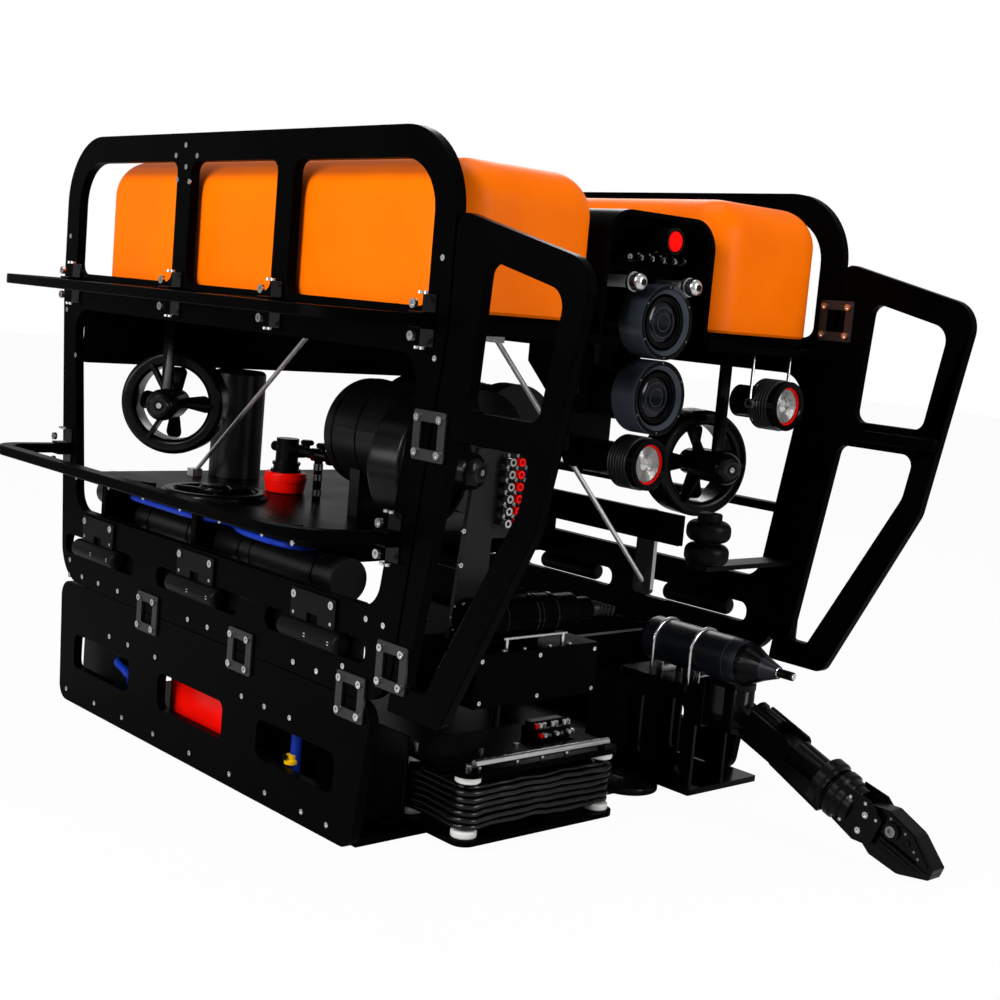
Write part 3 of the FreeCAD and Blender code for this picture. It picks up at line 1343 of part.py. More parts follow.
def pod_mount():
    """Two saddles on the stand and two U-bolts over the pod."""
    ring = s.pod_radius + s.u_clear + s.u_wire
    pieces = []
    for x in (s.u_aft, s.u_aft + s.u_spread):
        for side in (-1, 1):
            leg = rod("u_wire", "pod_z - stand_top", Vector(x, s.pod_y + side * ring, s.stand_top))
            pieces.append(leg)
        bow = primitive("Torus", Vector(x, s.pod_y, s.pod_z), Rotation(X_AXIS, 90),
                        Radius1="pod_radius + u_clear + u_wire", Radius2="u_wire")
        bow.Angle3 = FULL_TURN / 2
        bow.Placement.Rotation = Rotation(Z_AXIS, 90).multiply(Rotation(X_AXIS, 90))
        legs = [pieces.pop(), pieces.pop()]
        pieces.append(fuse([bow, *legs]))
        rest = block("saddle_width / 2", "pod_radius", "pod_z - stand_top - pod_radius / 2",
                     Vector(x, s.pod_y, s.stand_top))
        hollow = rod("pod_radius + u_clear", "saddle_width * 2",
                     Vector(x - s.saddle_width, s.pod_y, s.pod_z), ALONG_X)
        pieces.append(cut(rest, hollow))
    return group(pieces)


def arm_stand():
    """Foot plate, two windowed webs and a top plate, with a round foot beside them."""
    foot = padded("XY_Plane", [rectangle(
        s.stand_aft, s.stand_fore, s.arm_y - s.web_spread - s.web_thick / 2, s.stand_out,
        s.clamp_wall)], "stand_plate", Vector(0, 0, floor_top()))
    top = padded("XY_Plane", [rectangle(
        s.stand_aft, s.stand_fore, s.stand_in, s.arm_y + s.web_spread + s.web_rim,
        s.clamp_wall)], "stand_plate", Vector(0, 0, s.stand_top - s.stand_plate))
    low = floor_top() + s.stand_plate
    high = s.stand_top - s.stand_plate
    edge = rectangle(s.stand_aft, s.stand_fore, low, high, 0)
    window = rectangle(s.stand_aft + s.web_rim, s.stand_fore - s.web_rim,
                       low + s.web_rim, high - s.web_rim, s.pane_radius)
    pieces = [foot, top]
    for side in (-1, 1):
        y = s.arm_y + side * s.web_spread + s.web_thick / 2
        pieces.append(padded("XZ_Plane", [edge, window], "web_thick", Vector(0, y, 0)))
    stand = fuse(pieces)
    disc = turned((
        (0, 0, 0), (s.disc_radius, 0, s.clamp_wall),
        (s.disc_radius, s.disc_height / 2, s.lip_radius / 2),
        (s.disc_radius / 2, s.disc_height, s.clamp_wall), (0, s.disc_height, 0)),
        Vector(s.disc_x, s.disc_y, floor_top()))
    return group([stand, disc])


# ---------------------------------------------------------------- manipulator arm

def arm_turn():
    """Rotation of the arm's own frame: nose down by the pitch."""
    return Rotation(Y_AXIS, s.arm_pitch)


def arm_point(along, across=0, up=0):
    """Point in the arm's own frame, from the shoulder."""
    return Vector(s.arm_x, s.arm_y, s.arm_z) + arm_turn().multVec(Vector(along, across, up))


def arm_plate(corners, thickness, middle_y, width, circles=()):
    """Plate of the arm in its upright plane, with its width centred on a line."""
    return padded("XZ_Plane", [corners], thickness, arm_point(0, middle_y + width / 2),
                  arm_turn(), circles)


def arm_shoulder():
    """Fixed back plate with two lugs and the upright pin."""
    reach = s.shoulder_half + s.joint_gap
    back = s.stand_fore
    plate = padded("YZ_Plane", [rectangle(
        s.arm_y - s.lug_half, s.arm_y + s.lug_half, s.arm_z - reach - s.lug_thick,
        s.arm_z + reach + s.lug_thick, s.clamp_wall)], "lug_thick", Vector(back, 0, 0))
    pieces = [plate]
    for low in (s.arm_z + reach, s.arm_z - reach - s.lug_thick):
        tongue = ((back, s.arm_y - s.shoulder_radius, 0),
                  (s.arm_x + s.shoulder_radius, s.arm_y - s.shoulder_radius,
                   s.shoulder_radius - s.clamp_wall),
                  (s.arm_x + s.shoulder_radius, s.arm_y + s.shoulder_radius,
                   s.shoulder_radius - s.clamp_wall),
                  (back, s.arm_y + s.shoulder_radius, 0))
        pieces.append(padded("XY_Plane", [tongue], "lug_thick", Vector(0, 0, low)))
    foot = Vector(s.arm_x, s.arm_y, s.arm_z - reach - s.lug_thick)
    pieces.append(rod("pin_radius", "2 * (shoulder_half + joint_gap + lug_thick)", foot))
    return fuse(pieces)


def arm_upper():
    """Channel arm on an upright hub, ending in a fork with the elbow pin."""
    half_w = s.upper_width / 2
    half_h = s.upper_height / 2
    wall = s.upper_wall
    section = (
        (-half_w, -half_h, 0), (half_w, -half_h, 0), (half_w, half_h, 0),
        (half_w - wall, half_h, 0), (half_w - wall, -half_h + wall, 0),
        (-half_w + wall, -half_h + wall, 0), (-half_w + wall, half_h, 0), (-half_w, half_h, 0))
    start = s.shoulder_radius + 3 * wall
    channel = padded(
        "YZ_Plane", [section], "upper_length - fork_gap - shoulder_radius - 3 * upper_wall",
        arm_point(start), arm_turn())
    pieces = [channel]
    fork = rectangle(s.upper_length - s.fork_gap - wall, s.upper_length + s.fork_overhang,
                     -half_h, half_h, s.pane_radius / 2)
    for side in (-1, 1):
        middle = side * (half_w - wall / 2)
        pieces.append(arm_plate(fork, "upper_wall", middle, wall))
    pieces.append(rod("pin_radius", "upper_width", arm_point(s.upper_length, -half_w), ALONG_Y))
    root = rectangle(0, start + wall, -s.shoulder_radius / 2, s.shoulder_radius / 2, 0)
    pieces.append(arm_plate(root, "upper_width - 2 * upper_wall", 0, s.upper_width - 2 * wall))
    hub = rod("shoulder_radius", "2 * shoulder_half",
              Vector(s.arm_x, s.arm_y, s.arm_z - s.shoulder_half))
    bore = rod("pin_radius + pin_play", "4 * shoulder_half",
               Vector(s.arm_x, s.arm_y, s.arm_z - 2 * s.shoulder_half))
    return cut(fuse([hub, *pieces]), bore)


def arm_fore():
    """Solid fore arm on the elbow pin, with the wrist shaft at its end."""
    half = s.fore_height / 2
    end = s.upper_length + s.fore_length
    width = s.upper_width - 2 * s.upper_wall - 2 * s.joint_gap
    edge = (
        (s.upper_length - half, -half, half - s.clamp_wall), (end, -half, 0), (end, half, 0),
        (s.upper_length - half, half, half - s.clamp_wall))
    bore = [(s.upper_length, 0, s.pin_radius + s.pin_play)]
    beam = arm_plate(edge, "upper_width - 2 * upper_wall - 2 * joint_gap", 0, width, bore)
    cap = primitive("Cylinder", arm_point(end - s.lug_thick),
                    arm_turn().multiply(ALONG_X), Radius="wrist_radius", Height="lug_thick")
    shaft = primitive("Cylinder", arm_point(end - s.lug_thick),
                      arm_turn().multiply(ALONG_X), Radius="pin_radius",
                      Height="lug_thick + wrist_shaft")
    return fuse([beam, cap, shaft])


def palm_start():
    """Distance of the wrist collar's rear face along the arm."""
    return s.upper_length + s.fore_length + s.joint_gap


def jaw_pivot():
    """Distance of the jaw pins along the arm."""
    return palm_start() + s.wrist_length + s.palm_length - s.jaw_setback


def wrist():
    """Turning collar with two palm cheeks and the jaw pins."""
    start = palm_start()
    end = start + s.wrist_length
    bore = s.pin_radius + s.pin_play
    collar = turned((
        (bore, 0, 0), (s.wrist_radius, 0, s.clamp_wall),
        (s.wrist_radius, s.wrist_length, s.clamp_wall), (0, s.wrist_length, 0),
        (0, s.wrist_shaft + s.clamp_wall, 0), (bore, s.wrist_shaft + s.clamp_wall, 0)),
        arm_point(start), arm_turn().multiply(ALONG_X))
    pieces = [collar]
    cheek = rectangle(end - s.clamp_wall, end + s.palm_length, -s.palm_height, s.palm_height,
                      s.lip_radius)
    for side in (-1, 1):
        middle = side * (s.jaw_width / 2 + s.joint_gap + s.palm_wall / 2)
        pieces.append(arm_plate(cheek, "palm_wall", middle, s.palm_wall))
    half = s.jaw_width / 2 + s.joint_gap + s.palm_wall
    for side in (-1, 1):
        pieces.append(rod("jaw_pin", "jaw_width + 2 * (joint_gap + palm_wall)",
                          arm_point(jaw_pivot(), -half, side * s.jaw_spread), ALONG_Y))
    return fuse(pieces)


def jaw(side):
    """Curved finger with a round root on its pin; side is up or down."""
    x = jaw_pivot()
    z = s.jaw_spread
    root = s.jaw_root
    soft = root - s.pin_play
    tip = x + s.jaw_length
    grip = s.joint_gap / 2
    belly = s.jaw_belly
    edge = (
        (x - root, z - root, soft), (x + root, z - root, s.clamp_wall),
        (x + 2 * belly, z, s.lip_radius), (tip - belly, grip, s.clamp_wall), (tip, grip, 0),
        (tip, grip + s.lip_radius, s.clamp_wall),
        (x + 3 * belly, z + s.jaw_back, belly), (x + belly, z + belly, s.lip_radius),
        (x - root, z + root, soft))
    edge = tuple((px, side * pz, radius) for px, pz, radius in edge)
    bore = [(x, side * z, s.jaw_pin + s.pin_play)]
    return arm_plate(edge, "jaw_width", 0, s.jaw_width, bore)


# ---------------------------------------------------------------- the whole vehicle

def build():
    """Make every sub-part under its own name."""
    for name, side in SIDES:
        node(f"side_plate_{name}", side_plate(side))
        node(f"skid_panel_{name}", skid_panel(side))
        node(f"guard_panel_{name}", guard_panel(side))
        node(f"bumper_rails_{name}", bumper_rails(side))
        node(f"float_{name}", float_block(side))
    node("splice_brackets", splice_brackets())
    node("rail_clamps", rail_clamps())
    node("float_deck", float_deck())
    node("hood_shell", hood_shell())
    node("connector_panel", connector_panel())
    node("beacon", beacon())
    node("aiming_lasers", aiming_lasers())
    node("tilt_mount", tilt_mount())
    node("tilt_frame", tilt_frame())
    node("camera_upper", camera(s.tilt_height + s.camera_rise))
    node("camera_lower", camera(s.tilt_height))
    node("lamp_centre", centre_lamp())
    node("lamp_bail", lamp_bail())
    node("lamp_port", port_lamp())
    for name, x, y, z, angle in thruster_stations():
        node(f"thruster_{name}", thruster(x, y, z, angle))
        node(f"propeller_{name}",
             propeller(Vector(x, y, z), facing(angle), s.hub_length, s.blade_chord))
    node("lift_thrusters", lift_thrusters())
    for name, side in SIDES:
        at = Vector(s.lift_thruster_x, side * s.lift_thruster_y, lift_middle())
        hub_middle = at - Z_AXIS * (s.lift_length / 4)
        node(f"propeller_lift_{name}",
             propeller(hub_middle, UPRIGHT, s.lift_length / 2, s.lift_length / 2))
    node("mid_deck", mid_deck())
    node("cross_members", cross_members())
    node("main_bottles", main_bottles())
    node("side_housings", side_housings())
    node("relief_valve", relief_valve())
    node("valve_cap", valve_cap())
    node("terminal_plate", terminal_plate())
    node("stay_rods", stay_rods())
    node("trim_weights", trim_weights())
    node("tool_box", tool_box())
    node("hoses", hoses())
    node("cable_tray", cable_tray())
    node("tray_bobbins", tray_bobbins())
    node("tray_cable", tray_cable())
    node("front_unit", front_unit())
    node("sonar_head", sonar_head())
    node("beacon_pod", beacon_pod())
    node("pod_mount", pod_mount())
    node("arm_stand", arm_stand())
    node("arm_shoulder", arm_shoulder())
    node("arm_upper", arm_upper())
    node("arm_fore", arm_fore())
    node("wrist", wrist())
    node("jaw_upper", jaw(1))
    node("jaw_lower", jaw(-1))


def write_out():
    """Check every object, then write each sub-part to its own file."""
    doc.recompute()
    for item in doc.Objects:
        if "Invalid" in item.State or "Error" in item.State:
            raise RuntimeError(f"{item.Name} of {item.Label} failed: {item.State}")
    bad = [item.Label for item in NODES if item.Shape.isNull() or not item.Shape.isValid()]
    if bad:
        raise RuntimeError("no valid shape: " + ", ".join(bad))
    os.makedirs("parts", exist_ok=True)
    for item in NODES:
        item.Shape.exportStep(f"parts/{item.Label}.step")
        print(f"{item.Label}: {len(item.Shape.Solids)} solids, {item.Shape.Volume:.0f} mm3")


build()
write_out()
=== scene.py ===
"""Looks of an open-frame underwater inspection vehicle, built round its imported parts."""

from __future__ import annotations

import json
import logging
import math
from collections.abc import Callable, Iterable, Sequence
from dataclasses import dataclass, field
from enum import Enum

import bmesh
import bpy
from mathutils import Matrix, Vector
from mathutils.bvhtree import BVHTree


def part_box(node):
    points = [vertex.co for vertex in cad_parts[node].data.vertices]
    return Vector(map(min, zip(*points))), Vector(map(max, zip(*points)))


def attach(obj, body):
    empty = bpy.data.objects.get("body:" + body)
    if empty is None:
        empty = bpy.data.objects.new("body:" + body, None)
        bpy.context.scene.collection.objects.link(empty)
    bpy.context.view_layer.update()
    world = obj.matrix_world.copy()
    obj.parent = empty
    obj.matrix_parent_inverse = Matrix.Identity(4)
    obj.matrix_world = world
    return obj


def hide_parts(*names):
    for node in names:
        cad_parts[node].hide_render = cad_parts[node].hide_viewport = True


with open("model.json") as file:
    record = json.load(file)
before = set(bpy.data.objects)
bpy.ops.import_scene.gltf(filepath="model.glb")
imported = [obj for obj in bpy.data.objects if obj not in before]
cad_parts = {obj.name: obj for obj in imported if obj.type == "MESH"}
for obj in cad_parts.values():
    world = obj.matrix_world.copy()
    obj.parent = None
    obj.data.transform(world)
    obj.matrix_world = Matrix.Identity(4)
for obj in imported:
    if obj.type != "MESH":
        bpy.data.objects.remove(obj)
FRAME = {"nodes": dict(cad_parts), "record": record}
LOG = logging.getLogger("vehicle")
MM = 0.001
WELD = 0.00001
FLAT = math.radians(0.6)
CORNER = math.radians(40)
BRUSH_STRETCH = 0.08
BROAD_GRAIN = 9.0
TINT_STOPS = (0.35, 0.68)
GLOSS_SWING = 0.1
LEAST_GLOSS = 0.04
BUMP = 0.35
VEHICLE = "vehicle"
SIDES = (("starboard", -1), ("port", 1))
AHEAD, PORT, ABOVE = (Vector(way).freeze() for way in ((1, 0, 0), (0, 1, 0), (0, 0, 1)))
Profile = Pairs = Sequence[tuple[float, float]]


# ---------------------------------------------------------------- nodes and finishes

def wire(tree: bpy.types.NodeTree, node: bpy.types.Node, inputs: dict) -> None:
    """Fill or link the inputs of a node.

    Args:
        tree: Tree that holds the node.
        node: The node.
        inputs: For each input its value, the socket that feeds it, or the node whose first
            output feeds it.
    """
    for key, value in inputs.items():
        if isinstance(value, bpy.types.Node):
            value = value.outputs[0]
        if isinstance(value, bpy.types.NodeSocket):
            tree.links.new(value, node.inputs[key])
        else:
            node.inputs[key].default_value = value


def add_node(tree: bpy.types.NodeTree, kind: str, inputs: dict | None = None,
             **settings: object) -> bpy.types.Node:
    """Add a node to a tree.

    Args:
        tree: Tree that takes the node.
        kind: Type of the node.
        inputs: What fills or feeds its inputs.
        **settings: Its other properties, which are set first.

    Returns:
        The new node.
    """
    node = tree.nodes.new(kind)
    for name, value in settings.items():
        setattr(node, name, value)
    wire(tree, node, inputs or {})
    return node


class Pattern(Enum):
    """Grain that a finish carries."""

    MOULDED = "moulded"
    BRUSHED = "brushed"
    PLAIN = "plain"


@dataclass(frozen=True)
class Finish:
    """A procedural material.

    Args:
        name: Name of the material.
        colour: Linear base colour.
        roughness: Middle of the roughness range.
        metallic: Metal share.
        specular: Strength of the plain reflection.
        pattern: Grain of the surface.
        grain: Repeats of the grain per metre.
        relief: Height of the grain in metres.
        spread: Share by which the colour varies.
        glow: Strength of the emitted light.
    """

    name: str
    colour: tuple[float, float, float]
    roughness: float = 0.4
    metallic: float = 0.0
    specular: float = 0.5
    pattern: Pattern = Pattern.MOULDED
    grain: float = 700.0
    relief: float = 0.0001
    spread: float = 0.25
    glow: float = 0.0

    def material(self) -> bpy.types.Material:
        """Return the Blender material, made once.

        Returns:
            The material of this finish.
        """
        label = f"{self.name}_look"
        found = bpy.data.materials.get(label)
        if found is not None:
            return found
        made = bpy.data.materials.new(label)
        made.use_nodes = True
        made.diffuse_color = (*self.colour, 1.0)
        tree = made.node_tree
        shader = tree.nodes["Principled BSDF"]
        wire(tree, shader, {"Metallic": self.metallic, "Specular IOR Level": self.specular})
        if self.glow > 0:
            wire(tree, shader, {"Emission Color": (*self.colour, 1.0),
                                "Emission Strength": self.glow})
        self._grain(tree, shader)
        return made

    def _grain(self, tree: bpy.types.NodeTree, shader: bpy.types.Node) -> None:
        """Wire the colour variation, the roughness variation and the relief.

        Args:
            tree: Node tree of the material.
            shader: Its Principled node.
        """
        brushed = self.pattern is Pattern.BRUSHED
        place = add_node(tree, "ShaderNodeTexCoord")
        mapping = add_node(tree, "ShaderNodeMapping", {
            "Vector": place.outputs["Object"],
            "Scale": (1.0, 1.0, BRUSH_STRETCH if brushed else 1.0)})
        fine, broad = (add_node(tree, "ShaderNodeTexNoise", {
            "Vector": mapping, "Scale": scale, "Detail": detail})
            for scale, detail in ((self.grain, 3.0), (BROAD_GRAIN, 5.0)))
        tint = add_node(tree, "ShaderNodeValToRGB", {"Fac": broad})
        for element, position, share in zip(tint.color_ramp.elements, TINT_STOPS,
                                            (1 - self.spread, 1 + self.spread)):
            element.position = position
            element.color = (*(min(1.0, c * share) for c in self.colour), 1.0)
        gloss = add_node(tree, "ShaderNodeMapRange", {
            "Value": fine if brushed else broad,
            "To Min": max(LEAST_GLOSS, self.roughness - GLOSS_SWING),
            "To Max": min(1.0, self.roughness + GLOSS_SWING)})
        wire(tree, shader, {"Base Color": tint, "Roughness": gloss})
        if self.pattern is not Pattern.PLAIN:
            bump = add_node(tree, "ShaderNodeBump", {
                "Strength": BUMP, "Distance": self.relief, "Height": fine})
            wire(tree, shader, {"Normal": bump})


SHEET = Finish("black_sheet", (0.0006, 0.0006, 0.0007), 0.27, specular=0.012)
# Painted highlight: the chamfer finish is lighter than the sheet, standing in for the light that
# the chamfered edges catch.
EDGE_SHEEN = Finish("painted_edge_sheen", (0.011, 0.011, 0.012), 0.25, specular=0.45)
MOULDED = Finish("moulded_black", (0.0014, 0.0014, 0.0016), 0.24, specular=0.12)
ANODISED = Finish("black_anodised", (0.0012, 0.0012, 0.0014), 0.22, specular=0.1,
                  relief=0.00004)
STEEL = Finish("bright_steel", (0.62, 0.62, 0.61), 0.24, 1.0, pattern=Pattern.BRUSHED,
               relief=0.00003, spread=0.12)
DULL_STEEL = Finish("dull_steel", (0.22, 0.22, 0.22), 0.36, 1.0, pattern=Pattern.BRUSHED,
                    relief=0.00003, spread=0.2)
FOAM = Finish("orange_skin", (1.0, 0.165, 0.0), 0.42, specular=0.06, grain=420.0,
              relief=0.0002, spread=0.06)
RED = Finish("red_plastic", (0.98, 0.004, 0.001), 0.3, specular=0.15, spread=0.04)
RED_LENS = Finish("red_lens", (1.0, 0.002, 0.001), 0.2, specular=0.08, pattern=Pattern.PLAIN,
                  glow=0.3)
WHITE = Finish("white_nylon", (0.72, 0.72, 0.69), 0.4, spread=0.05)
HOSE = Finish("blue_hose", (0.001, 0.022, 0.3), 0.42, specular=0.15, spread=0.15)
YELLOW = Finish("yellow_plastic", (0.9, 0.5, 0.0), 0.4, specular=0.2, spread=0.06)
RUBBER = Finish("black_rubber", (0.0016, 0.0016, 0.0018), 0.4, specular=0.07, grain=900.0)
CABLE = Finish("black_cable", (0.002, 0.002, 0.0023), 0.24, specular=0.3, grain=500.0)
HOUSING = Finish("blue_grey_housing", (0.03, 0.038, 0.052), 0.32, specular=0.3)
POD = Finish("pod_shell", (0.006, 0.0075, 0.011), 0.34, specular=0.22)
BRACKET = Finish("dark_bracket", (0.013, 0.013, 0.0135), 0.36, specular=0.3,
                 pattern=Pattern.BRUSHED, relief=0.00003)
CASING = Finish("casing", (0.0016, 0.0016, 0.0018), 0.35, specular=0.06)
BLUE = Finish("blue_plug", (0.01, 0.05, 0.4), 0.35, spread=0.1)
GREY = Finish("grey_sheet", (0.0035, 0.0035, 0.0038), 0.4, specular=0.2)
BOTTLE = Finish("bottle_coat", (0.0024, 0.0024, 0.0027), 0.36, specular=0.3, relief=0.00003)
MIRROR = Finish("satin_silver", (0.86, 0.86, 0.85), 0.3, 0.65, pattern=Pattern.PLAIN,
                spread=0.06)
DISH = Finish("ribbed_dish", (0.66, 0.66, 0.65), 0.22, 0.92, pattern=Pattern.PLAIN,
              spread=0.1)
LENS = Finish("dark_lens", (0.002, 0.0025, 0.004), 0.12, specular=0.2,
              pattern=Pattern.PLAIN)
# Body and chamfer pairs; the second finish goes on the chamfer faces as a painted edge highlight.
SHEET_WITH_SHEEN, ANODISED_WITH_SHEEN = (SHEET, EDGE_SHEEN), (ANODISED, EDGE_SHEEN)

SKIN_OF_SLOT = {
    "black_sheet": SHEET_WITH_SHEEN, "orange_foam": (FOAM,), "stainless_steel": (STEEL,),
    "red_plastic": (RED,), "black_anodised": ANODISED_WITH_SHEEN, "camera_shell": (HOUSING,),
    "beacon_shell": ANODISED_WITH_SHEEN, "laser_shell": (WHITE,), "lamp_metal": (STEEL,),
    "thruster_plastic": (MOULDED,), "propeller_plastic": (MOULDED,),
    "valve_body": (DULL_STEEL,), "grey_plate": (GREY, EDGE_SHEEN),
    "black_rubber": (RUBBER,), "blue_hose": (HOSE,), "white_nylon": (WHITE,),
}
SKIN_OF_NODE = {
    "lamp_centre": ANODISED_WITH_SHEEN, "lamp_port": ANODISED_WITH_SHEEN, "aiming_lasers": (WHITE, STEEL),
    "camera_upper": (HOUSING, ANODISED), "camera_lower": (HOUSING, ANODISED),
    "main_bottles": (BOTTLE,), "side_housings": (BOTTLE,), "stay_rods": (MIRROR, BRACKET),
    "relief_valve": ANODISED_WITH_SHEEN, "splice_brackets": (BRACKET,), "rail_clamps": ANODISED_WITH_SHEEN,
    # The second hose finish is painted shade for the inboard legs.
    "tool_box": (CASING, CASING, RED), "hoses": (HOSE, CABLE),
}
ACCENTS = {
    "tool_box": ((2, lambda face: face.normal.y < -0.9),),
    "aiming_lasers": ((0, lambda face: True), (1, lambda face: face.center.x >= 0.49)),
    # Painted shade: the hoses' inboard legs take the black cable finish where they run in the
    # dark gap under the tool box.
    "hoses": ((1, lambda face: face.center.y > -0.2),),
    "stay_rods": ((0, lambda face: True),
                  (1, lambda face: face.center.x > 0.3 and face.center.z < 0.5
                   and (abs(face.normal.y) > 0.99 or face.center.z < 0.33))),
}


# ---------------------------------------------------------------- mesh helpers

@dataclass(frozen=True)
class Block:
    """Upright box in the common frame.

    Args:
        low: Its lowest corner in metres.
        high: Its highest corner in metres.
    """

    low: Vector
    high: Vector

    @property
    def middle(self) -> Vector:
        """Return the middle of the box in metres."""
        return (self.low + self.high) / 2

    @property
    def size(self) -> Vector:
        """Return the lengths of the box along X, Y and Z in metres."""
        return self.high - self.low

    def face(self, axis: int, way: float) -> Vector:
        """Return the middle of one side of the box.

        Args:
            axis: 0, 1 or 2 for X, Y or Z.
            way: Above zero for the high side and below it for the low one.

        Returns:
            The point in metres.
        """
        found = self.middle
        found[axis] = (self.high if way > 0 else self.low)[axis]
        return found


def box_of(node: str) -> Block:
    """Return the box round a CAD node."""
    return Block(*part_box(node))


def welded(node: str) -> bmesh.types.BMesh:
    """Copy the mesh of a CAD node with its doubles merged.

    Args:
        node: Name of the node.

    Returns:
        The copy, to be freed.
    """
    made = bmesh.new()
    made.from_mesh(FRAME["nodes"][node].data)
    bmesh.ops.remove_doubles(made, verts=made.verts, dist=WELD)
    return made


def loose_parts(node: str) -> list[Block]:
    """Find the separate solids of a node.

    Args:
        node: Name of the node.

    Returns:
        One box for each solid, sorted by X, then Y, then Z.
    """
    made = welded(node)
    left = set(made.verts)
    blocks = []
    while left:
        seed = left.pop()
        stack, members = [seed], [seed]
        while stack:
            for edge in stack.pop().link_edges:
                fresh = [vert for vert in edge.verts if vert in left]
                left.difference_update(fresh)
                stack += fresh
                members += fresh
        blocks.append(Block(*(Vector([pick(v.co[axis] for v in members) for axis in range(3)])
                              for pick in (min, max))))
    made.free()
    return sorted(blocks, key=lambda block: tuple(round(v, 4) for v in block.middle))


def mesh_of(made: bmesh.types.BMesh, name: str) -> bpy.types.Mesh:
    """Turn an edit mesh into a mesh, and free it.

    Args:
        made: The edit mesh.
        name: Name of the mesh.

    Returns:
        The mesh.
    """
    mesh = bpy.data.meshes.new(name)
    made.to_mesh(mesh)
    made.free()
    return mesh


def linked(name: str, data: bpy.types.ID) -> bpy.types.Object:
    """Make an object and put it in the scene.

    Args:
        name: Name of the object.
        data: Its mesh, curve, lamp or camera.

    Returns:
        The new object.
    """
    made = bpy.data.objects.new(name, data)
    bpy.context.scene.collection.objects.link(made)
    return made


def settle(mesh: bpy.types.Mesh, name: str, finishes: Sequence[Finish],
           body: str = VEHICLE, smooth: float = 32.0,
           nodes: Sequence[str] = ()) -> bpy.types.Object:
    """Make a piece of a mesh, shade it, and ride it on its body.

    Args:
        mesh: The mesh, in metres in the common frame.
        name: Name of the piece.
        finishes: One finish for each material index.
        body: Body that carries it.
        smooth: Largest angle in degrees that is shaded smooth.
        nodes: CAD nodes that the piece stands for.

    Returns:
        The piece.
    """
    mesh.materials.clear()
    for finish in finishes:
        mesh.materials.append(finish.material())
    mesh.polygons.foreach_set("use_smooth", [True] * len(mesh.polygons))
    mesh.set_sharp_from_angle(angle=math.radians(smooth))
    made = linked(name, mesh)
    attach(made, body)
    if nodes:
        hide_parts(*nodes)
    LOG.info("%s on %s", name, body)
    return made


def baked(made: bpy.types.Object) -> bpy.types.Mesh:
    """Apply the modifiers of an object and drop the object.

    Args:
        made: Object with live modifiers.

    Returns:
        The evaluated mesh.
    """
    bpy.context.view_layer.update()
    graph = bpy.context.evaluated_depsgraph_get()
    mesh = bpy.data.meshes.new_from_object(made.evaluated_get(graph))
    made.modifiers.clear()
    bpy.data.objects.remove(made)
    return mesh


def bevelled(mesh: bpy.types.Mesh, width: float, slot: int = -1) -> bpy.types.Mesh:
    """Chamfer the sharp edges of a mesh.

    Args:
        mesh: Mesh with merged corners.
        width: Width of the chamfer in metres.
        slot: Material index of the new faces, or -1 for the neighbour's.

    Returns:
        The chamfered mesh.
    """
    carrier = linked("carrier", mesh)
    for finish in SHEET_WITH_SHEEN:
        mesh.materials.append(finish.material())
    bevel = carrier.modifiers.new("edge", "BEVEL")
    bevel.width = width
    bevel.segments = 1
    bevel.limit_method = "ANGLE"
    bevel.angle_limit = CORNER
    # The chamfer faces take material `slot`, which on sheet and anodised parts is the painted
    # edge highlight.
    bevel.material = slot
    bevel.use_clamp_overlap = True
    return baked(carrier)


def hoop(inner: float, outer: float, low: float, high: float) -> Profile:
    """Return the profile of a plain ring, or of a rod where the inner radius is 0.

    Args:
        inner: Inner radius in millimetres.
        outer: Outer radius.
        low: Height of its foot.
        high: Height of its top.

    Returns:
        Radius and height pairs in millimetres.
    """
    return [(inner, low), (outer, low), (outer, high), (inner, high)]


def lathe(profile: Profile, at: Sequence[float], axis: Vector = AHEAD,
          steps: int = 64) -> bpy.types.Mesh:
    """Turn a closed profile about an axis.

    Args:
        profile: Radius and height pairs in millimetres.
        at: Foot of the axis in metres.
        axis: Its direction.
        steps: Faces round the axis.

    Returns:
        A closed mesh.
    """
    made = bmesh.new()
    angles = [2 * math.pi * k / steps for k in range(steps)]
    rows = [[made.verts.new((0, 0, height * MM))] if not radius else
            [made.verts.new((radius * MM * math.cos(angle), radius * MM * math.sin(angle),
                             height * MM)) for angle in angles]
            for radius, height in profile]
    for first, second in zip(rows, rows[1:] + rows[:1]):
        for k in range(steps):
            after = (k + 1) % steps
            corners = (first[k % len(first)], first[after % len(first)],
                       second[after % len(second)], second[k % len(second)])
            unique = list(dict.fromkeys(corners))
            if len(unique) > 2:
                made.faces.new(unique)
    bmesh.ops.recalc_face_normals(made, faces=made.faces)
    mesh = mesh_of(made, "turned")
    turn = axis.normalized().to_track_quat("Z", "Y").to_matrix().to_4x4()
    mesh.transform(Matrix.Translation(at) @ turn)
    return mesh


def merged(meshes: Iterable[bpy.types.Mesh]) -> bpy.types.Mesh:
    """Join meshes, each with its own material indices.

    Args:
        meshes: Meshes to join.

    Returns:
        One mesh.
    """
    made = bmesh.new()
    for mesh in meshes:
        made.from_mesh(mesh)
    return mesh_of(made, "merged")


def boxes(cubes: Iterable[tuple[Sequence[float], Sequence[float]]],
          edge: float) -> bpy.types.Mesh:
    """Make chamfered boxes.

    Args:
        cubes: Middle and size of each box in metres.
        edge: Width of the chamfer in metres.

    Returns:
        One mesh.
    """
    made = bmesh.new()
    for middle, size in cubes:
        bmesh.ops.create_cube(made, size=1.0, matrix=Matrix.Translation(middle)
                              @ Matrix.Diagonal((*size, 1)))
    return bevelled(mesh_of(made, "boxes"), edge)


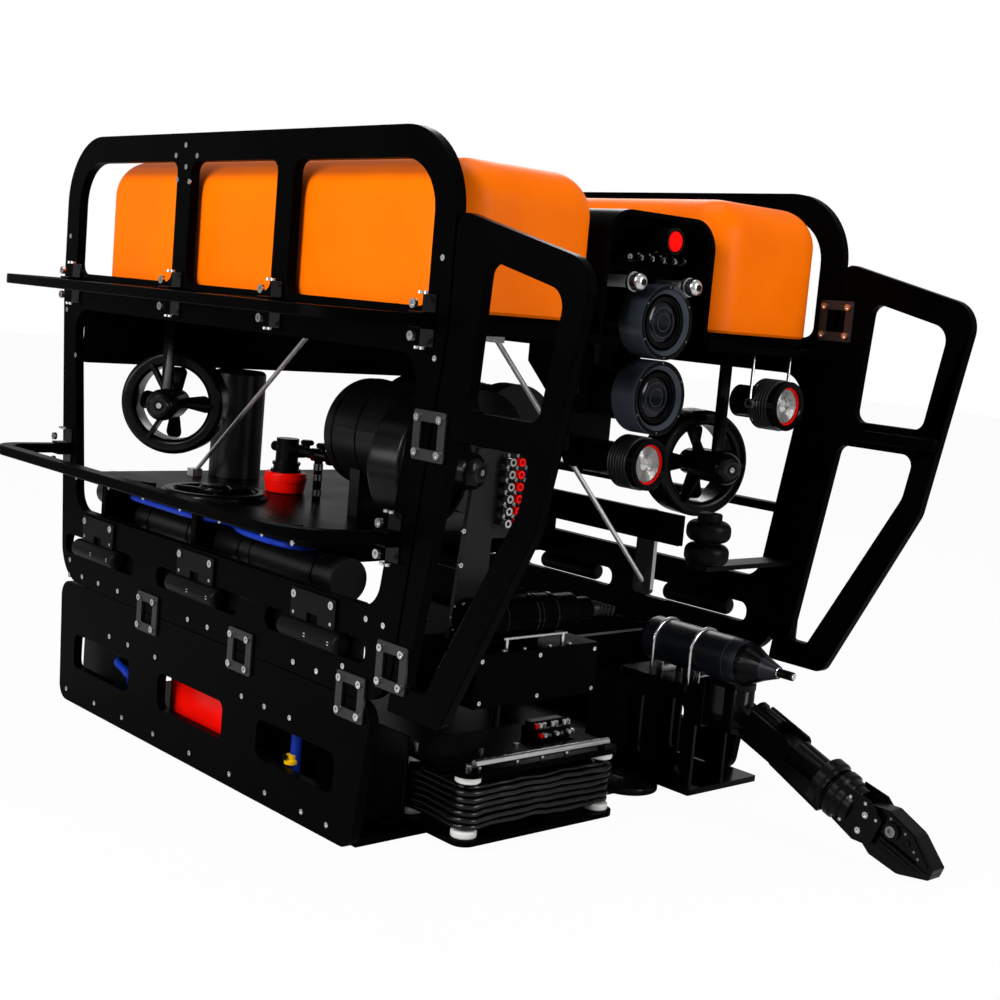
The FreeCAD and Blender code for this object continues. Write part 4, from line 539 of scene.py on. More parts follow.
def tube(name: str, finish: Finish, radius: float,
         points: Sequence[Sequence[float]]) -> None:
    """Make a smooth round cable along control points.

    Args:
        name: Name of the piece.
        finish: Its finish.
        radius: Radius of the cable in millimetres.
        points: Control points in metres.
    """
    curve = bpy.data.curves.new(name, "CURVE")
    curve.dimensions = "3D"
    spline = curve.splines.new("NURBS")
    spline.points.add(len(points) - 1)
    for point, place in zip(spline.points, points):
        point.co = (*place, 1.0)
    spline.order_u = 3
    spline.use_endpoint_u = True
    spline.resolution_u = 10
    curve.bevel_depth = radius * MM
    curve.bevel_resolution = 3
    curve.use_fill_caps = True
    settle(baked(linked("carrier", curve)), name, (finish,))


def spokes(count: int) -> list[Vector]:
    """Return unit vectors spread evenly across the X axis."""
    angles = [(k + 0.5) * 2 * math.pi / count for k in range(count)]
    return [Vector((0, math.cos(angle), math.sin(angle))) for angle in angles]


# ---------------------------------------------------------------- repeats by Geometry Nodes

def geometry_tree(name: str, values: Sequence[str]) -> bpy.types.NodeTree:
    """Make a Geometry Nodes tree with a geometry input and number inputs.

    Args:
        name: Name of the piece that it makes.
        values: Names of the number inputs.

    Returns:
        The tree.
    """
    tree = bpy.data.node_groups.new(f"{name}_tree", "GeometryNodeTree")
    tree.interface.new_socket("Geometry", in_out="INPUT", socket_type="NodeSocketGeometry")
    for label in values:
        tree.interface.new_socket(label, in_out="INPUT", socket_type="NodeSocketFloat")
    tree.interface.new_socket("Geometry", in_out="OUTPUT", socket_type="NodeSocketGeometry")
    return tree


def attribute(tree: bpy.types.NodeTree, name: str, kind: str) -> bpy.types.Node:
    """Add a node that reads the named attribute of the points."""
    return add_node(tree, "GeometryNodeInputNamedAttribute", {"Name": name}, data_type=kind)


def dress(tree: bpy.types.NodeTree, source: bpy.types.Node, finish: Finish) -> None:
    """Give the result of a tree its material and lead it out.

    Args:
        tree: The tree.
        source: Node whose first output is the result.
        finish: Its finish.
    """
    coat = add_node(tree, "GeometryNodeSetMaterial", {
        "Geometry": source, "Material": finish.material()})
    add_node(tree, "NodeGroupOutput", {"Geometry": coat})


def grown(points: Sequence[Sequence[float]], attributes: dict[str, Sequence],
          tree: bpy.types.NodeTree, values: dict[str, float]) -> bpy.types.Mesh:
    """Run a Geometry Nodes tree on points and bake the result.

    Args:
        points: Places in metres.
        attributes: For each attribute its value at every point.
        tree: The tree.
        values: Its number inputs.

    Returns:
        The mesh that it makes.
    """
    cloud = bpy.data.meshes.new("places")
    cloud.from_pydata(points, [], [])
    for label, column in attributes.items():
        plain = isinstance(column[0], float)
        cloud.attributes.new(label, "FLOAT" if plain else "FLOAT_VECTOR", "POINT")
        for item, value in zip(cloud.attributes[label].data, column):
            setattr(item, "value" if plain else "vector", value)
    carrier = linked("carrier", cloud)
    grow = carrier.modifiers.new("grow", "NODES")
    grow.node_group = tree
    for item in tree.interface.items_tree:
        if item.item_type == "SOCKET" and item.in_out == "INPUT" and item.name in values:
            grow[item.identifier] = values[item.name]
    return baked(carrier)


RECESS_DEPTH = 0.6


class Head(Enum):
    """Shape of a fastener's head, by the number of its sides."""

    SOCKET = 16
    HEX = 6


@dataclass
class FastenerField:
    """Fasteners of one kind on one body.

    Args:
        name: Name of the piece.
        head: Shape of the head.
        finish: Finish of the heads.
        height: Height of a head as a share of its radius.
        sunk: Radius of the recess as a share of the head's radius.
        places: Place, direction and radius of each.
    """

    name: str
    head: Head = Head.SOCKET
    finish: Finish = STEEL
    height: float = 0.8
    sunk: float = 0.5
    places: list[tuple[tuple[float, ...], Vector, float]] = field(default_factory=list)

    def add(self, at: Sequence[float], facing: Vector, radius: float) -> None:
        """Note one fastener.

        Args:
            at: Place of the head's foot in metres.
            facing: Direction out of the surface.
            radius: Radius of the head in millimetres.
        """
        self.places.append((tuple(at), facing, radius * MM))

    def _tree(self) -> bpy.types.NodeTree:
        """Make the tree that puts a head on every point.

        Returns:
            The tree.
        """
        tree = geometry_tree(self.name, ("Head height", "Recess share"))
        start = tree.nodes.new("NodeGroupInput").outputs
        disc = add_node(tree, "GeometryNodeMeshCircle", {
            "Vertices": self.head.value, "Radius": 1.0}, fill_type="NGON")
        up = add_node(tree, "ShaderNodeCombineXYZ", {"Z": start["Head height"]})
        body = add_node(tree, "GeometryNodeExtrudeMesh", {"Mesh": disc, "Offset": up})
        rim = add_node(tree, "GeometryNodeExtrudeMesh", {
            "Mesh": body, "Selection": body.outputs["Top"], "Offset Scale": 0.0})
        shrink = add_node(tree, "GeometryNodeScaleElements", {
            "Geometry": rim, "Selection": rim.outputs["Top"],
            "Scale": start["Recess share"]})
        down = add_node(tree, "ShaderNodeVectorMath", {0: up, "Scale": -RECESS_DEPTH},
                        operation="SCALE")
        recess = add_node(tree, "GeometryNodeExtrudeMesh", {
            "Mesh": shrink, "Selection": rim.outputs["Top"], "Offset": down})
        turn = add_node(tree, "FunctionNodeAlignRotationToVector", {
            "Vector": attribute(tree, "facing", "FLOAT_VECTOR")}, axis="Z")
        spread = add_node(tree, "GeometryNodeInstanceOnPoints", {
            "Points": start["Geometry"], "Instance": recess, "Rotation": turn,
            "Scale": attribute(tree, "size", "FLOAT")})
        dress(tree, add_node(tree, "GeometryNodeRealizeInstances", {"Geometry": spread}),
              self.finish)
        return tree

    def build(self, body: str = VEHICLE, slot: str = "stainless_steel") -> None:
        """Make the fasteners as one mesh on a body.

        Args:
            body: Name of the body that carries them.
            slot: Material slot of the record; not used.
        """
        spots, ways, sizes = zip(*self.places)
        mesh = grown(spots, {"facing": ways, "size": sizes}, self._tree(),
                     {"Head height": self.height, "Recess share": self.sunk})
        settle(mesh, self.name, (self.finish,), body, smooth=28.0)


# ---------------------------------------------------------------- panels and brackets

@dataclass
class Skins:
    """Chamfered and smooth-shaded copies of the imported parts.

    Args:
        sheet_edge: Chamfer of cut sheet in metres.
        fine_edge: Chamfer of small or turned parts in metres.
        soft_edge: Chamfer of foam in metres.
        hood_wall: Width of a camera hood's front rim in metres.
    """

    sheet_edge: float = 1.4 * MM
    fine_edge: float = 0.5 * MM
    soft_edge: float = 4 * MM
    hood_wall: float = 4.5 * MM

    def width_of(self, node: str, slot: str) -> float:
        """Return the chamfer that suits a node.

        Args:
            node: Name of the node.
            slot: Its material slot.

        Returns:
            The width in metres.
        """
        if slot == "black_sheet" or node in ("arm_upper", "arm_fore", "arm_stand"):
            return self.sheet_edge
        return self.soft_edge if slot == "orange_foam" else self.fine_edge

    def build(self) -> None:
        """Make one skin for every node and ride it on the node's body."""
        record = FRAME["record"]
        bodies = {node: body for body, nodes in record["behaviour"]["bodies"].items()
                  for node in nodes}
        for part in record["subparts"]:
            node, slot = part["node"], part["material_slot"]
            if node == "tray_cable":
                continue
            finishes = SKIN_OF_NODE.get(node, SKIN_OF_SLOT[slot])
            clean = welded(node)
            bmesh.ops.dissolve_limit(clean, angle_limit=FLAT, verts=clean.verts,
                                     edges=clean.edges)
            # With two finishes the chamfer faces take the second, the painted edge highlight on
            # sheet and anodised parts.
            mesh = bevelled(mesh_of(clean, node), self.width_of(node, slot),
                            1 if len(finishes) > 1 else -1)
            skin = settle(mesh, f"{node}_dressed", finishes, bodies[node],
                          nodes=(node,)).data
            for index, chosen in ACCENTS.get(node, ()):
                self.paint(skin, index, chosen)
            if node.startswith("camera"):
                self.darken(skin, box_of(node))

    def darken(self, mesh: bpy.types.Mesh, block: Block) -> None:
        """Blacken the hollow of a camera hood.

        Args:
            mesh: The hood, which looks along X.
            block: The box round it.
        """
        middle, rim = block.middle, block.size.z / 2 - self.hood_wall
        self.paint(mesh, 1, lambda face: math.hypot(
            face.center.y - middle.y, face.center.z - middle.z) < rim)

    @staticmethod
    def paint(mesh: bpy.types.Mesh, index: int,
              chosen: Callable[[bpy.types.MeshPolygon], bool]) -> None:
        """Give the chosen faces of a mesh another finish.

        Args:
            mesh: The mesh.
            index: Material index of the finish.
            chosen: Test that says whether a face takes it.
        """
        for face in mesh.polygons:
            if chosen(face):
                face.material_index = index


@dataclass
class Fastenings:
    """Bolts of the open frame.

    Args:
        inset: Distance of a bracket's bolts from its corners in metres.
        outer_face: Distance of the outer face of the side sheets from the middle.
        bracket_head: Radius of the heads on the brackets in millimetres.
        clamp_heads: Radii of the heads on the outside and on the end of a clamp.
        sheet_head: Radius of the small heads along the sheets.
        strap_heads: Radii of the upper and lower heads on a strap plate.
        weight_head: Radius of the heads on the trim weights.
        ends: Places along X and Z of the heads at the ends of the decks.
        rows: Height of each row of small heads, with their places along X.
        lone: Places along X and Z of the heads outside the rows.
    """

    inset: float = 10 * MM
    outer_face: float = 420 * MM
    bracket_head: float = 5.4
    clamp_heads: tuple[float, float] = (6.5, 4.5)
    sheet_head: float = 4.2
    strap_heads: tuple[float, float] = (6.0, 2.6)
    weight_head: float = 3.0
    ends: Pairs = ((-0.493, 0.622), (-0.493, 0.722), (-0.473, 0.228), (-0.473, 0.256),
                   (0.359, 0.228), (0.359, 0.256))
    rows: tuple[tuple[float, tuple[float, ...]], ...] = (
        (0.406, (-0.465, -0.345, -0.225, -0.105, 0.015, 0.135, 0.215)),
        (0.021, (-0.461, -0.354, -0.254, -0.147, -0.03, 0.09, 0.19, 0.286, 0.349)),
        (0.15, (-0.313, -0.247, -0.155, 0.11, 0.173, 0.24)),
        (0.234, (-0.424, -0.363, -0.293, -0.06, 0.0, 0.239, 0.298)))
    lone: Pairs = ((0.404, 0.333), (0.443, 0.332), (-0.154, 0.983), (-0.183, 0.967),
                   (-0.15, 0.949), (-0.118, 0.966), (-0.175, 0.929), (-0.138, 0.926),
                   (0.506, 0.83), (0.506, 0.7), (-0.535, 0.83), (-0.535, 0.7))

    def brackets(self, bolts: FastenerField) -> None:
        """Put four heads on every splice bracket.

        Args:
            bolts: Field that takes them.
        """
        for block in loose_parts("splice_brackets"):
            outer = abs(block.middle.y) > 0.41
            way = math.copysign(1.0, block.middle.y) * (1 if outer else -1)
            for x in (block.low.x + self.inset, block.high.x - self.inset):
                for z in (block.low.z + self.inset, block.high.z - self.inset):
                    bolts.add((x, block.face(1, way).y, z), PORT * way, self.bracket_head)

    def clamps(self, bolts: FastenerField) -> None:
        """Put heads on the rail clamps, outside and on the free end.

        Args:
            bolts: Field that takes them.
        """
        for block in loose_parts("rail_clamps"):
            middle = block.middle
            way = math.copysign(1.0, middle.y)
            bolts.add(block.face(1, way), PORT * way, self.clamp_heads[0])
            up = 1.0 if (middle.z > 0.748 or 0.455 < middle.z < 0.6) else -1.0
            for x in (block.low.x + 8 * MM, block.high.x - 8 * MM):
                bolts.add((x, middle.y, block.face(2, up).z), ABOVE * up,
                          self.clamp_heads[1])

    def sheets(self, bolts: FastenerField) -> None:
        """Put small heads where the cross sheets meet the side sheets.

        Args:
            bolts: Field that takes them.
        """
        in_rows = [(x, z) for z, places in self.rows for x in places]
        for _, side in SIDES:
            for x, z in (*self.ends, *in_rows, *self.lone):
                bolts.add((x, side * self.outer_face, z), PORT * side, self.sheet_head)

    def straps(self, bolts: FastenerField) -> None:
        """Put heads on the strap plates and on the ends of the trim weights.

        Args:
            bolts: Field that takes them.
        """
        for block in loose_parts("trim_weights"):
            side = math.copysign(1.0, block.middle.y)
            face, out = block.face(1, side), PORT * side
            if block.size.y < 0.01:
                for x in (block.low.x + 9 * MM, block.high.x - 9 * MM):
                    bolts.add((x, face.y, block.high.z - 9 * MM), out, self.strap_heads[0])
                    bolts.add((x, face.y, block.low.z + 8 * MM), out, self.strap_heads[1])
            else:
                for x in (block.high.x - 17 * MM, face.x):
                    bolts.add((x, face.y - side * 1.2 * MM, face.z), out,
                              self.weight_head)

    def build(self) -> None:
        """Make all the bolts of the frame."""
        bright = FastenerField("frame_bolts")
        self.brackets(bright)
        self.clamps(bright)
        bright.build()
        small = FastenerField("sheet_bolts", height=0.4, sunk=0.55)
        self.sheets(small)
        self.straps(small)
        small.build()


# ---------------------------------------------------------------- sensors

@dataclass
class Eye:
    """Insert in the front of a camera or a lamp that looks along X.

    Args:
        node: CAD node whose hollow it sits in.
        body: Body that carries it.
        rim: Outer radius of the insert in millimetres.
    """

    node: str
    body: str
    rim: float

    def part(self, name: str, finish: Finish, slot: str, profile: Profile, at: Vector,
             smooth: float = 32.0, steps: int = 64) -> None:
        """Make one turned part of the insert.

        Args:
            name: Last word of its name.
            finish: Its finish.
            slot: Material slot of the record; not used.
            profile: Radius and height pairs in millimetres.
            at: Foot of its axis.
            smooth: Largest angle in degrees that is shaded smooth.
            steps: Faces round the axis.
        """
        settle(lathe(profile, at, steps=steps), f"{self.node}_{name}", (finish,),
               self.body, smooth)


@dataclass
class Camera(Eye):
    """Stepped lens barrel with a glass port at the bottom of the hood.

    Args:
        depth: Depth of the hood in millimetres.
        lens: Radius of the front lens.
        step: Width and height of a step of the barrel.
    """

    depth: float = 40.0
    lens: float = 31.0
    step: tuple[float, float] = (3.4, 2.2)

    def build(self) -> None:
        """Make the barrel, its rings, the cone, the domed lens and the screws."""
        slot, face = "camera_shell", box_of(self.node).face(0, 1)
        floor = face - AHEAD * self.depth * MM
        height = front = self.depth - 5
        radius = self.rim - 5
        steps = [(0.0, 0.4), (radius, 0.4), (radius, front - 1), (radius - 1, front)]
        while radius > self.lens + 6:
            radius -= self.step[0]
            steps += [(radius, height), (radius - 0.5, height - self.step[1])]
            height -= self.step[1]
        steps += [(self.lens, height), (self.lens, height - 5), (0.0, height - 5)]
        height -= 3
        self.part("barrel", ANODISED, slot, steps, floor)
        angles = [k * math.pi / 14 for k in range(6, 0, -1)]
        dome = [(self.lens * math.sin(angle) / math.sin(angles[0]),
                 height - 1.6 + 5 * math.cos(angle)) for angle in angles]
        self.part("lens", LENS, slot, [
            (0.0, height - 1.8), (self.lens, height - 1.8), *dome, (0.0, height + 3.4)],
            floor, 60.0)
        self.part("cone", HOUSING, slot, [
            (self.rim - 1, front - 4), (self.rim + 5.3, self.depth - 1.6),
            (self.rim + 5.3, self.depth - 0.6), (self.rim - 1, front - 1)], floor)
        for index, share in enumerate((0.42, 0.72)):
            at, rise = self.lens * share, height + 3.3 - share * share * 2.4
            self.part(f"hoop_{index}", HOUSING, slot,
                      hoop(at - 0.5, at + 0.5, rise, rise + 0.5), floor)
        screws = FastenerField(f"{self.node}_screws", finish=DULL_STEEL, height=0.5)
        for out in spokes(6):
            screws.add(face + out * (self.rim + 8.6) * MM - AHEAD * 0.2 * MM, AHEAD, 1.5)
        screws.build(self.body, slot)


@dataclass
class Lamp(Eye):
    """Polished dish round a turned core that stands for the cluster of emitters.

    Args:
        depth: Depth of the dish in millimetres.
        ribs: Number of ribs of the dish.
        fins: Number of cooling fins behind the head.
        head: Outer radius of the lamp.
    """

    depth: float = 26.0
    ribs: int = 18
    fins: int = 7
    head: float = 39.0

    def build(self) -> None:
        """Make the dish, the emitter core, the seal, the bezel and the fins."""
        slot, face = "lamp_metal", box_of(self.node).face(0, 1)
        floor, rim = face - AHEAD * self.depth * MM, self.rim
        dish = [(11.6 + (rim - 18) * k / self.ribs,
                 self.depth - 12 + 3 * k / self.ribs + 2.4 * (k % 2))
                for k in range(self.ribs + 1)]
        self.part("dish", DISH, slot, dish + [(r - 0.6, h + 0.6) for r, h in reversed(dish)],
                  floor, 20.0)
        self.part("core", DISH, slot, [
            (0.0, 0.5), (12, 0.5), (12, self.depth - 8), (9, self.depth - 5),
            (8.2, self.depth - 6.5), (5, self.depth - 4), (0.0, self.depth - 3)],
            floor, 20.0, 40)
        self.part("seal", RED, "red_plastic", [
            (rim - 7, -6.5), (rim - 1.2, -6.5), (rim - 1.2, -3.8), (rim - 6.5, -3.8)], face)
        self.part("bezel", ANODISED, slot, [
            (rim - 4.2, -1.5), (rim + 1.5, -1.5), (rim + 1.5, 1.2), (rim - 3.2, 1.2)], face)
        starts = [-16 - k * 5.6 for k in range(self.fins)]
        fins = [lathe(hoop(self.head - 1, self.head + 1.6, start, start + 2.4), face, steps=48)
                for start in starts]
        settle(merged(fins), f"{self.node}_fins", (DULL_STEEL,), self.body)


@dataclass
class HoodFittings:
    """Beacon lens, laser tips, and the sockets and leads of the connector panel.

    Args:
        lens: Radius of the beacon lens in millimetres.
        socket: Radius of a socket.
        blank: Radius of a cap at the edges of the panel.
        lead: Radius of a lead.
        edge: Distance of the caps from the middle in metres.
        face: Place of the panel's face along X.
        columns: Places of the leads along Y.
    """

    lens: float = 14.6
    socket: float = 4.65
    blank: float = 4.0
    lead: float = 2.6
    edge: float = 0.092
    face: float = 0.44
    columns: tuple[float, ...] = (-0.048, -0.024, 0.0, 0.024, 0.048)

    def build(self) -> None:
        """Make the fittings under the roof of the hood."""
        settle(lathe([(0, -3.8), (self.lens, -3.8), (self.lens, -1), (self.lens - 1.5, 0.2),
                      (0, 0.6)], box_of("beacon").face(0, 1)),
               "beacon_lens", (RED_LENS,))
        for block in loose_parts("aiming_lasers"):
            tip = block.face(0, 1)
            side = "port" if tip.y > 0 else "starboard"
            settle(lathe([(0, -1), (4.6, -1), (4.6, 0.6), (3.6, 1.2), (3.2, 0.2), (0, 0.2)],
                         tip, steps=32), f"laser_tip_{side}", (LENS,))
            settle(lathe(hoop(13.2, 14.4, -24, -19), tip, steps=40), f"laser_collar_{side}",
                   (STEEL,))
        sockets = FastenerField("panel_sockets", height=1.4, sunk=0.55)
        for block in loose_parts("connector_panel"):
            if block.size.y < 0.05:
                sockets.add(block.face(0, 1), AHEAD, self.socket)
        panel = box_of("connector_panel")
        for y in (-self.edge, self.edge):
            for z in (panel.low.z + 12 * MM, panel.middle.z):
                sockets.add((self.face, y, z), AHEAD, self.blank)
        sockets.build()
        for index, y in enumerate(self.columns):
            tube(f"hood_lead_{index}", CABLE, self.lead, (
                (0.474, y, 0.868), (0.492, y, 0.869), (0.5, y + 0.003, 0.864),
                (0.494, y + 0.005, 0.857), (0.47, y * 1.2, 0.856), (0.441, y * 1.25, 0.86)))


# ---------------------------------------------------------------- front tray

@dataclass
class TrayWinding:
    """Cable wound round the four posts of the tray.

    Args:
        radius: Radius of the cable in metres.
        turns: Turns in one layer.
        layers: Layers over each other.
        bend: Bend radius at a post.
        slack: Reach of the wander of the turns.
        sway: Reach of the change in their size.
        phase: Start of that change.
    """

    radius: float = 4.2 * MM
    turns: int = 6
    layers: int = 3
    bend: float = 20 * MM
    slack: float = 13 * MM
    sway: float = 2.2 * MM
    phase: float = 7.0

    @staticmethod
    def _tree() -> bpy.types.NodeTree:
        """Make the tree that winds the cable.

        Returns:
            The tree.
        """
        tree = geometry_tree("winding", ("Length", "Width", "Corner", "Cable radius", "Slack"))
        start = tree.nodes.new("NodeGroupInput").outputs
        loop = add_node(tree, "GeometryNodeCurvePrimitiveQuadrilateral", {
            "Width": start["Length"], "Height": start["Width"]})
        bend = add_node(tree, "GeometryNodeFilletCurve", {
            "Count": 7, "Curve": loop, "Radius": start["Corner"]}, mode="POLY")
        even = add_node(tree, "GeometryNodeResampleCurve", {"Count": 96, "Curve": bend})
        spread = add_node(tree, "GeometryNodeInstanceOnPoints", {
            "Points": start["Geometry"], "Instance": even,
            "Scale": attribute(tree, "grow", "FLOAT_VECTOR")})
        real = add_node(tree, "GeometryNodeRealizeInstances", {"Geometry": spread})
        noise = add_node(tree, "ShaderNodeTexNoise", {"Scale": 14.0})
        centred = add_node(tree, "ShaderNodeVectorMath", {
            0: noise.outputs["Color"], 1: (0.5, 0.5, 0.5)}, operation="SUBTRACT")
        scaled = add_node(tree, "ShaderNodeVectorMath", {
            0: centred, "Scale": start["Slack"]}, operation="SCALE")
        shift = add_node(tree, "GeometryNodeSetPosition", {
            "Geometry": real, "Offset": scaled})
        ring = add_node(tree, "GeometryNodeCurvePrimitiveCircle", {
            "Resolution": 8, "Radius": start["Cable radius"]})
        body = add_node(tree, "GeometryNodeCurveToMesh", {
            "Curve": shift, "Profile Curve": ring})
        dress(tree, body, CABLE)
        return tree

    def build(self) -> None:
        """Wind the cable in place of its plain band."""
        band = box_of("tray_cable")
        middle, size = band.middle, band.size
        places, scales = [], []
        for layer in range(self.layers):
            inset = self.radius + 0.4 * MM + layer * 1.7 * self.radius
            for turn in range(self.turns):
                z = band.low.z + self.radius + (size.z - 2 * self.radius) * (
                    turn + 0.5 * (layer % 2) + 0.2) / self.turns
                wobble = self.sway * math.sin(self.phase + 2.3 * turn + 1.1 * layer)
                places.append((middle.x, middle.y, min(z, band.high.z - self.radius)))
                scales.append((1 - 2 * (inset + abs(wobble)) / size.x,
                               1 - 2 * (inset + abs(wobble)) / size.y, 1.0))
        mesh = grown(places, {"grow": scales}, self._tree(), {
            "Length": size.x, "Width": size.y, "Corner": self.bend,
            "Cable radius": self.radius, "Slack": self.slack})
        settle(mesh, "tray_turns", (CABLE,), smooth=60.0,
               nodes=("tray_cable",))


@dataclass
class TrayFittings:
    """Polished bar, post nuts and terminal block on top of the tray.

    Args:
        top: Height of the top plate in metres.
        bar: Radius of the bar's sleeve in millimetres.
        plug: Radius of a plug on the block.
        pitch: Distance between two plugs in metres.
        posts: Place along X and Y, and radius in millimetres, of each nut.
        stem_row: Place of the stems along X.
        stems: Places of the stems along Y.
        stem: Radius of a stem in millimetres.
        block: Place of the terminal block along X and Y.
    """

    top: float = 0.12
    bar: float = 5.6
    plug: float = 3.2
    pitch: float = 8.5 * MM
    posts: tuple[tuple[float, float, float], ...] = (
        (0.354, -0.272, 6), (0.354, -0.004, 6), (0.476, -0.272, 6), (0.476, -0.004, 6),
        (0.42, -0.2, 4), (0.42, -0.13, 4))
    stem_row: float = 0.488
    stems: tuple[float, ...] = (-0.262, -0.19, -0.14, -0.09, -0.014)
    stem: float = 3.4
    block: tuple[float, float] = (0.4, -0.05)

    def build(self) -> None:
        """Make the fittings of the tray."""
        rod = loose_parts("cable_tray")[-1]
        foot = (rod.middle.x, rod.low.y - 1 * MM, rod.high.z - 5 * MM)
        settle(lathe(hoop(0, self.bar, 0, rod.size.y / MM + 2), foot, PORT, 32),
               "tray_bar_sleeve", (STEEL,))
        nuts = FastenerField("tray_nuts", height=1.0, sunk=0.45)
        feet = FastenerField("tray_stems", head=Head.HEX, height=1.6, sunk=0.6)
        for x, y, radius in self.posts:
            nuts.add((x, y, self.top), ABOVE, radius)
        for y in self.stems:
            feet.add((self.stem_row, y, self.top), ABOVE, self.stem)
        nuts.build()
        feet.build()
        self._block(Vector((*self.block, self.top)))

    def _block(self, at: Vector) -> None:
        """Make the terminal block with its coloured plugs.

        Args:
            at: Middle of the foot of the block.
        """
        settle(boxes(((at + Vector((0, 0, 0.009)), (0.034, 0.074, 0.018)),
                      (at + Vector((-0.006, 0, 0.022)), (0.016, 0.068, 0.008))), 1.2 * MM),
               "tray_block", (CASING,))
        for index, (label, finish) in enumerate((("red", RED), ("white", WHITE),
                                                 ("steel", STEEL))):
            row = FastenerField(f"tray_plugs_{label}", finish=finish, height=2.0)
            for k in range(1 if label == "red" else 3):
                y = at.y - 30 * MM + self.pitch * (3 * k + index)
                row.add((at.x + 9 * MM, y, at.z + 18 * MM), ABOVE, self.plug)
                row.add((at.x + 17 * MM, y, at.z + 9 * MM), AHEAD, self.plug)
            row.build()


@dataclass
class BoxFittings:
    """Handle bar, lid screws and actuator rings of the sealed box on the fore sill.

    Args:
        bar: Radius of the handle in millimetres.
        reach: Length of the handle.
        post: Radius of a post of the handle.
        end: Place of the handle's starboard end along Y in metres.
        posts: Places of its posts along Y.
        lid_screws: Places of the screws in the lid along Y.
        rings: Distance from the end, radius and width of each ring in millimetres.
        ribs: Number of ribs of the gaiter.
    """

    bar: float = 2.6
    reach: float = 125.0
    post: float = 3.2
    end: float = -0.235
    posts: tuple[float, ...] = (-0.228, -0.117)
    lid_screws: tuple[float, ...] = (-0.24, -0.2, -0.15, -0.11)
    rings: tuple[tuple[float, float, float], ...] = (
        (14, 32.2, 3), (60, 32.0, 2.4), (118, 32.4, 5), (128, 32.4, 3), (158, 32.2, 4))
    ribs: int = 8

    def build(self) -> None:
        """Make the fittings of the box and of the actuator over it."""
        parts = sorted(loose_parts("front_unit"), key=lambda block: block.middle.z)
        self._box(parts[0], parts[-1])
        self._actuator(parts[-1])

    def _box(self, box: Block, drive: Block) -> None:
        """Make the handle and all the screws.

        Args:
            box: The sealed box.
            drive: The actuator.
        """
        x, lid = box.high.x - 16 * MM, box.high.z
        handle = [lathe(hoop(0, self.bar, 0, self.reach), (x, self.end, lid + 15 * MM), PORT,
                        20)]
        handle += [lathe(hoop(0, self.post, 0, 17), (x, y, lid), ABOVE, 20)
                   for y in self.posts]
        settle(merged(handle), "box_handle", (STEEL,))
        screws = FastenerField("box_screws", height=0.6)
        for y in (box.low.y + 10 * MM, box.middle.y, box.high.y - 10 * MM):
            for z in (box.low.z + 9 * MM, lid - 9 * MM):
                screws.add((box.high.x, y, z), AHEAD, 3.2)
        for y in self.lid_screws:
            screws.add((box.high.x - 8 * MM, y, lid), ABOVE, 3.6)
        for angle in (k * math.pi / 4 for k in range(8)):
            out = Vector((math.cos(angle), 0, math.sin(angle)))
            screws.add(drive.face(1, -1) + out * 24 * MM, -PORT, 2.4)
        screws.build()

    def _actuator(self, drive: Block) -> None:
        """Make the rings and the gaiter of the actuator.

        Args:
            drive: Its box.
        """
        rings = [lathe(hoop(radius - 2, radius, at, at + width), drive.face(1, -1), PORT, 48)
                 for at, radius, width in self.rings]
        settle(merged(rings), "actuator_rings", (ANODISED,))
        ribs = []
        for k in range(self.ribs):
            at = drive.face(1, 1) + Vector((0.315 * k * k, 5.4 * k, -0.06 * k * k)) * MM
            r = 13.5 - 0.8 * k
            ribs.append(lathe([(0, -2.9), (0.86 * r, -2.9), (r, -1.2), (r, 1.2),
                               (0.86 * r, 2.9), (0, 2.9)], at,
                              Vector((0.16 * k, 1, -0.05 * k)), 32))
        settle(merged(ribs), "actuator_gaiter", (GREY,))


@dataclass
class PlugCaps:
    """Coloured collars on the plugs of the terminal sheet.

    Args:
        collar: Radius of a collar in millimetres.
        nut: Radius of a nut between two plugs.
        screw: Radius of a screw at the edge of the sheet.
        screw_rows: Heights of those screws in metres.
    """

    collar: float = 6.2
    nut: float = 2.604
    screw: float = 3.6
    screw_rows: tuple[float, ...] = (0.33, 0.4, 0.45, 0.56)

    def build(self) -> None:
        """Make a steel, red or blue collar for each plug, by its column."""
        kinds = (("steel", STEEL), ("red", RED), ("blue", BLUE))
        rows = [FastenerField(f"plug_caps_{label}", finish=finish, height=1.5)
                for label, finish in kinds]
        parts = loose_parts("terminal_plate")
        plugs = [block for block in parts if block.size.z < 0.02]
        sheet = next(block for block in parts if block.size.z > 0.02)
        columns = sorted({round(block.middle.y, 3) for block in plugs})
        for block in plugs:
            foot = block.face(0, 1) - AHEAD * 4 * MM
            column = columns.index(round(foot.y, 3))
            rows[column % len(rows)].add(foot, AHEAD, self.collar)
            rows[0].add(foot + Vector((-6, 0.3, 9)) * MM, AHEAD, self.nut)
        for row in rows:
            row.build()
        edge = FastenerField("terminal_screws")
        for y in (sheet.low.y + 10 * MM, sheet.high.y - 12 * MM):
            for z in self.screw_rows:
                edge.add((sheet.high.x, y, z), AHEAD, self.screw)
        edge.build()


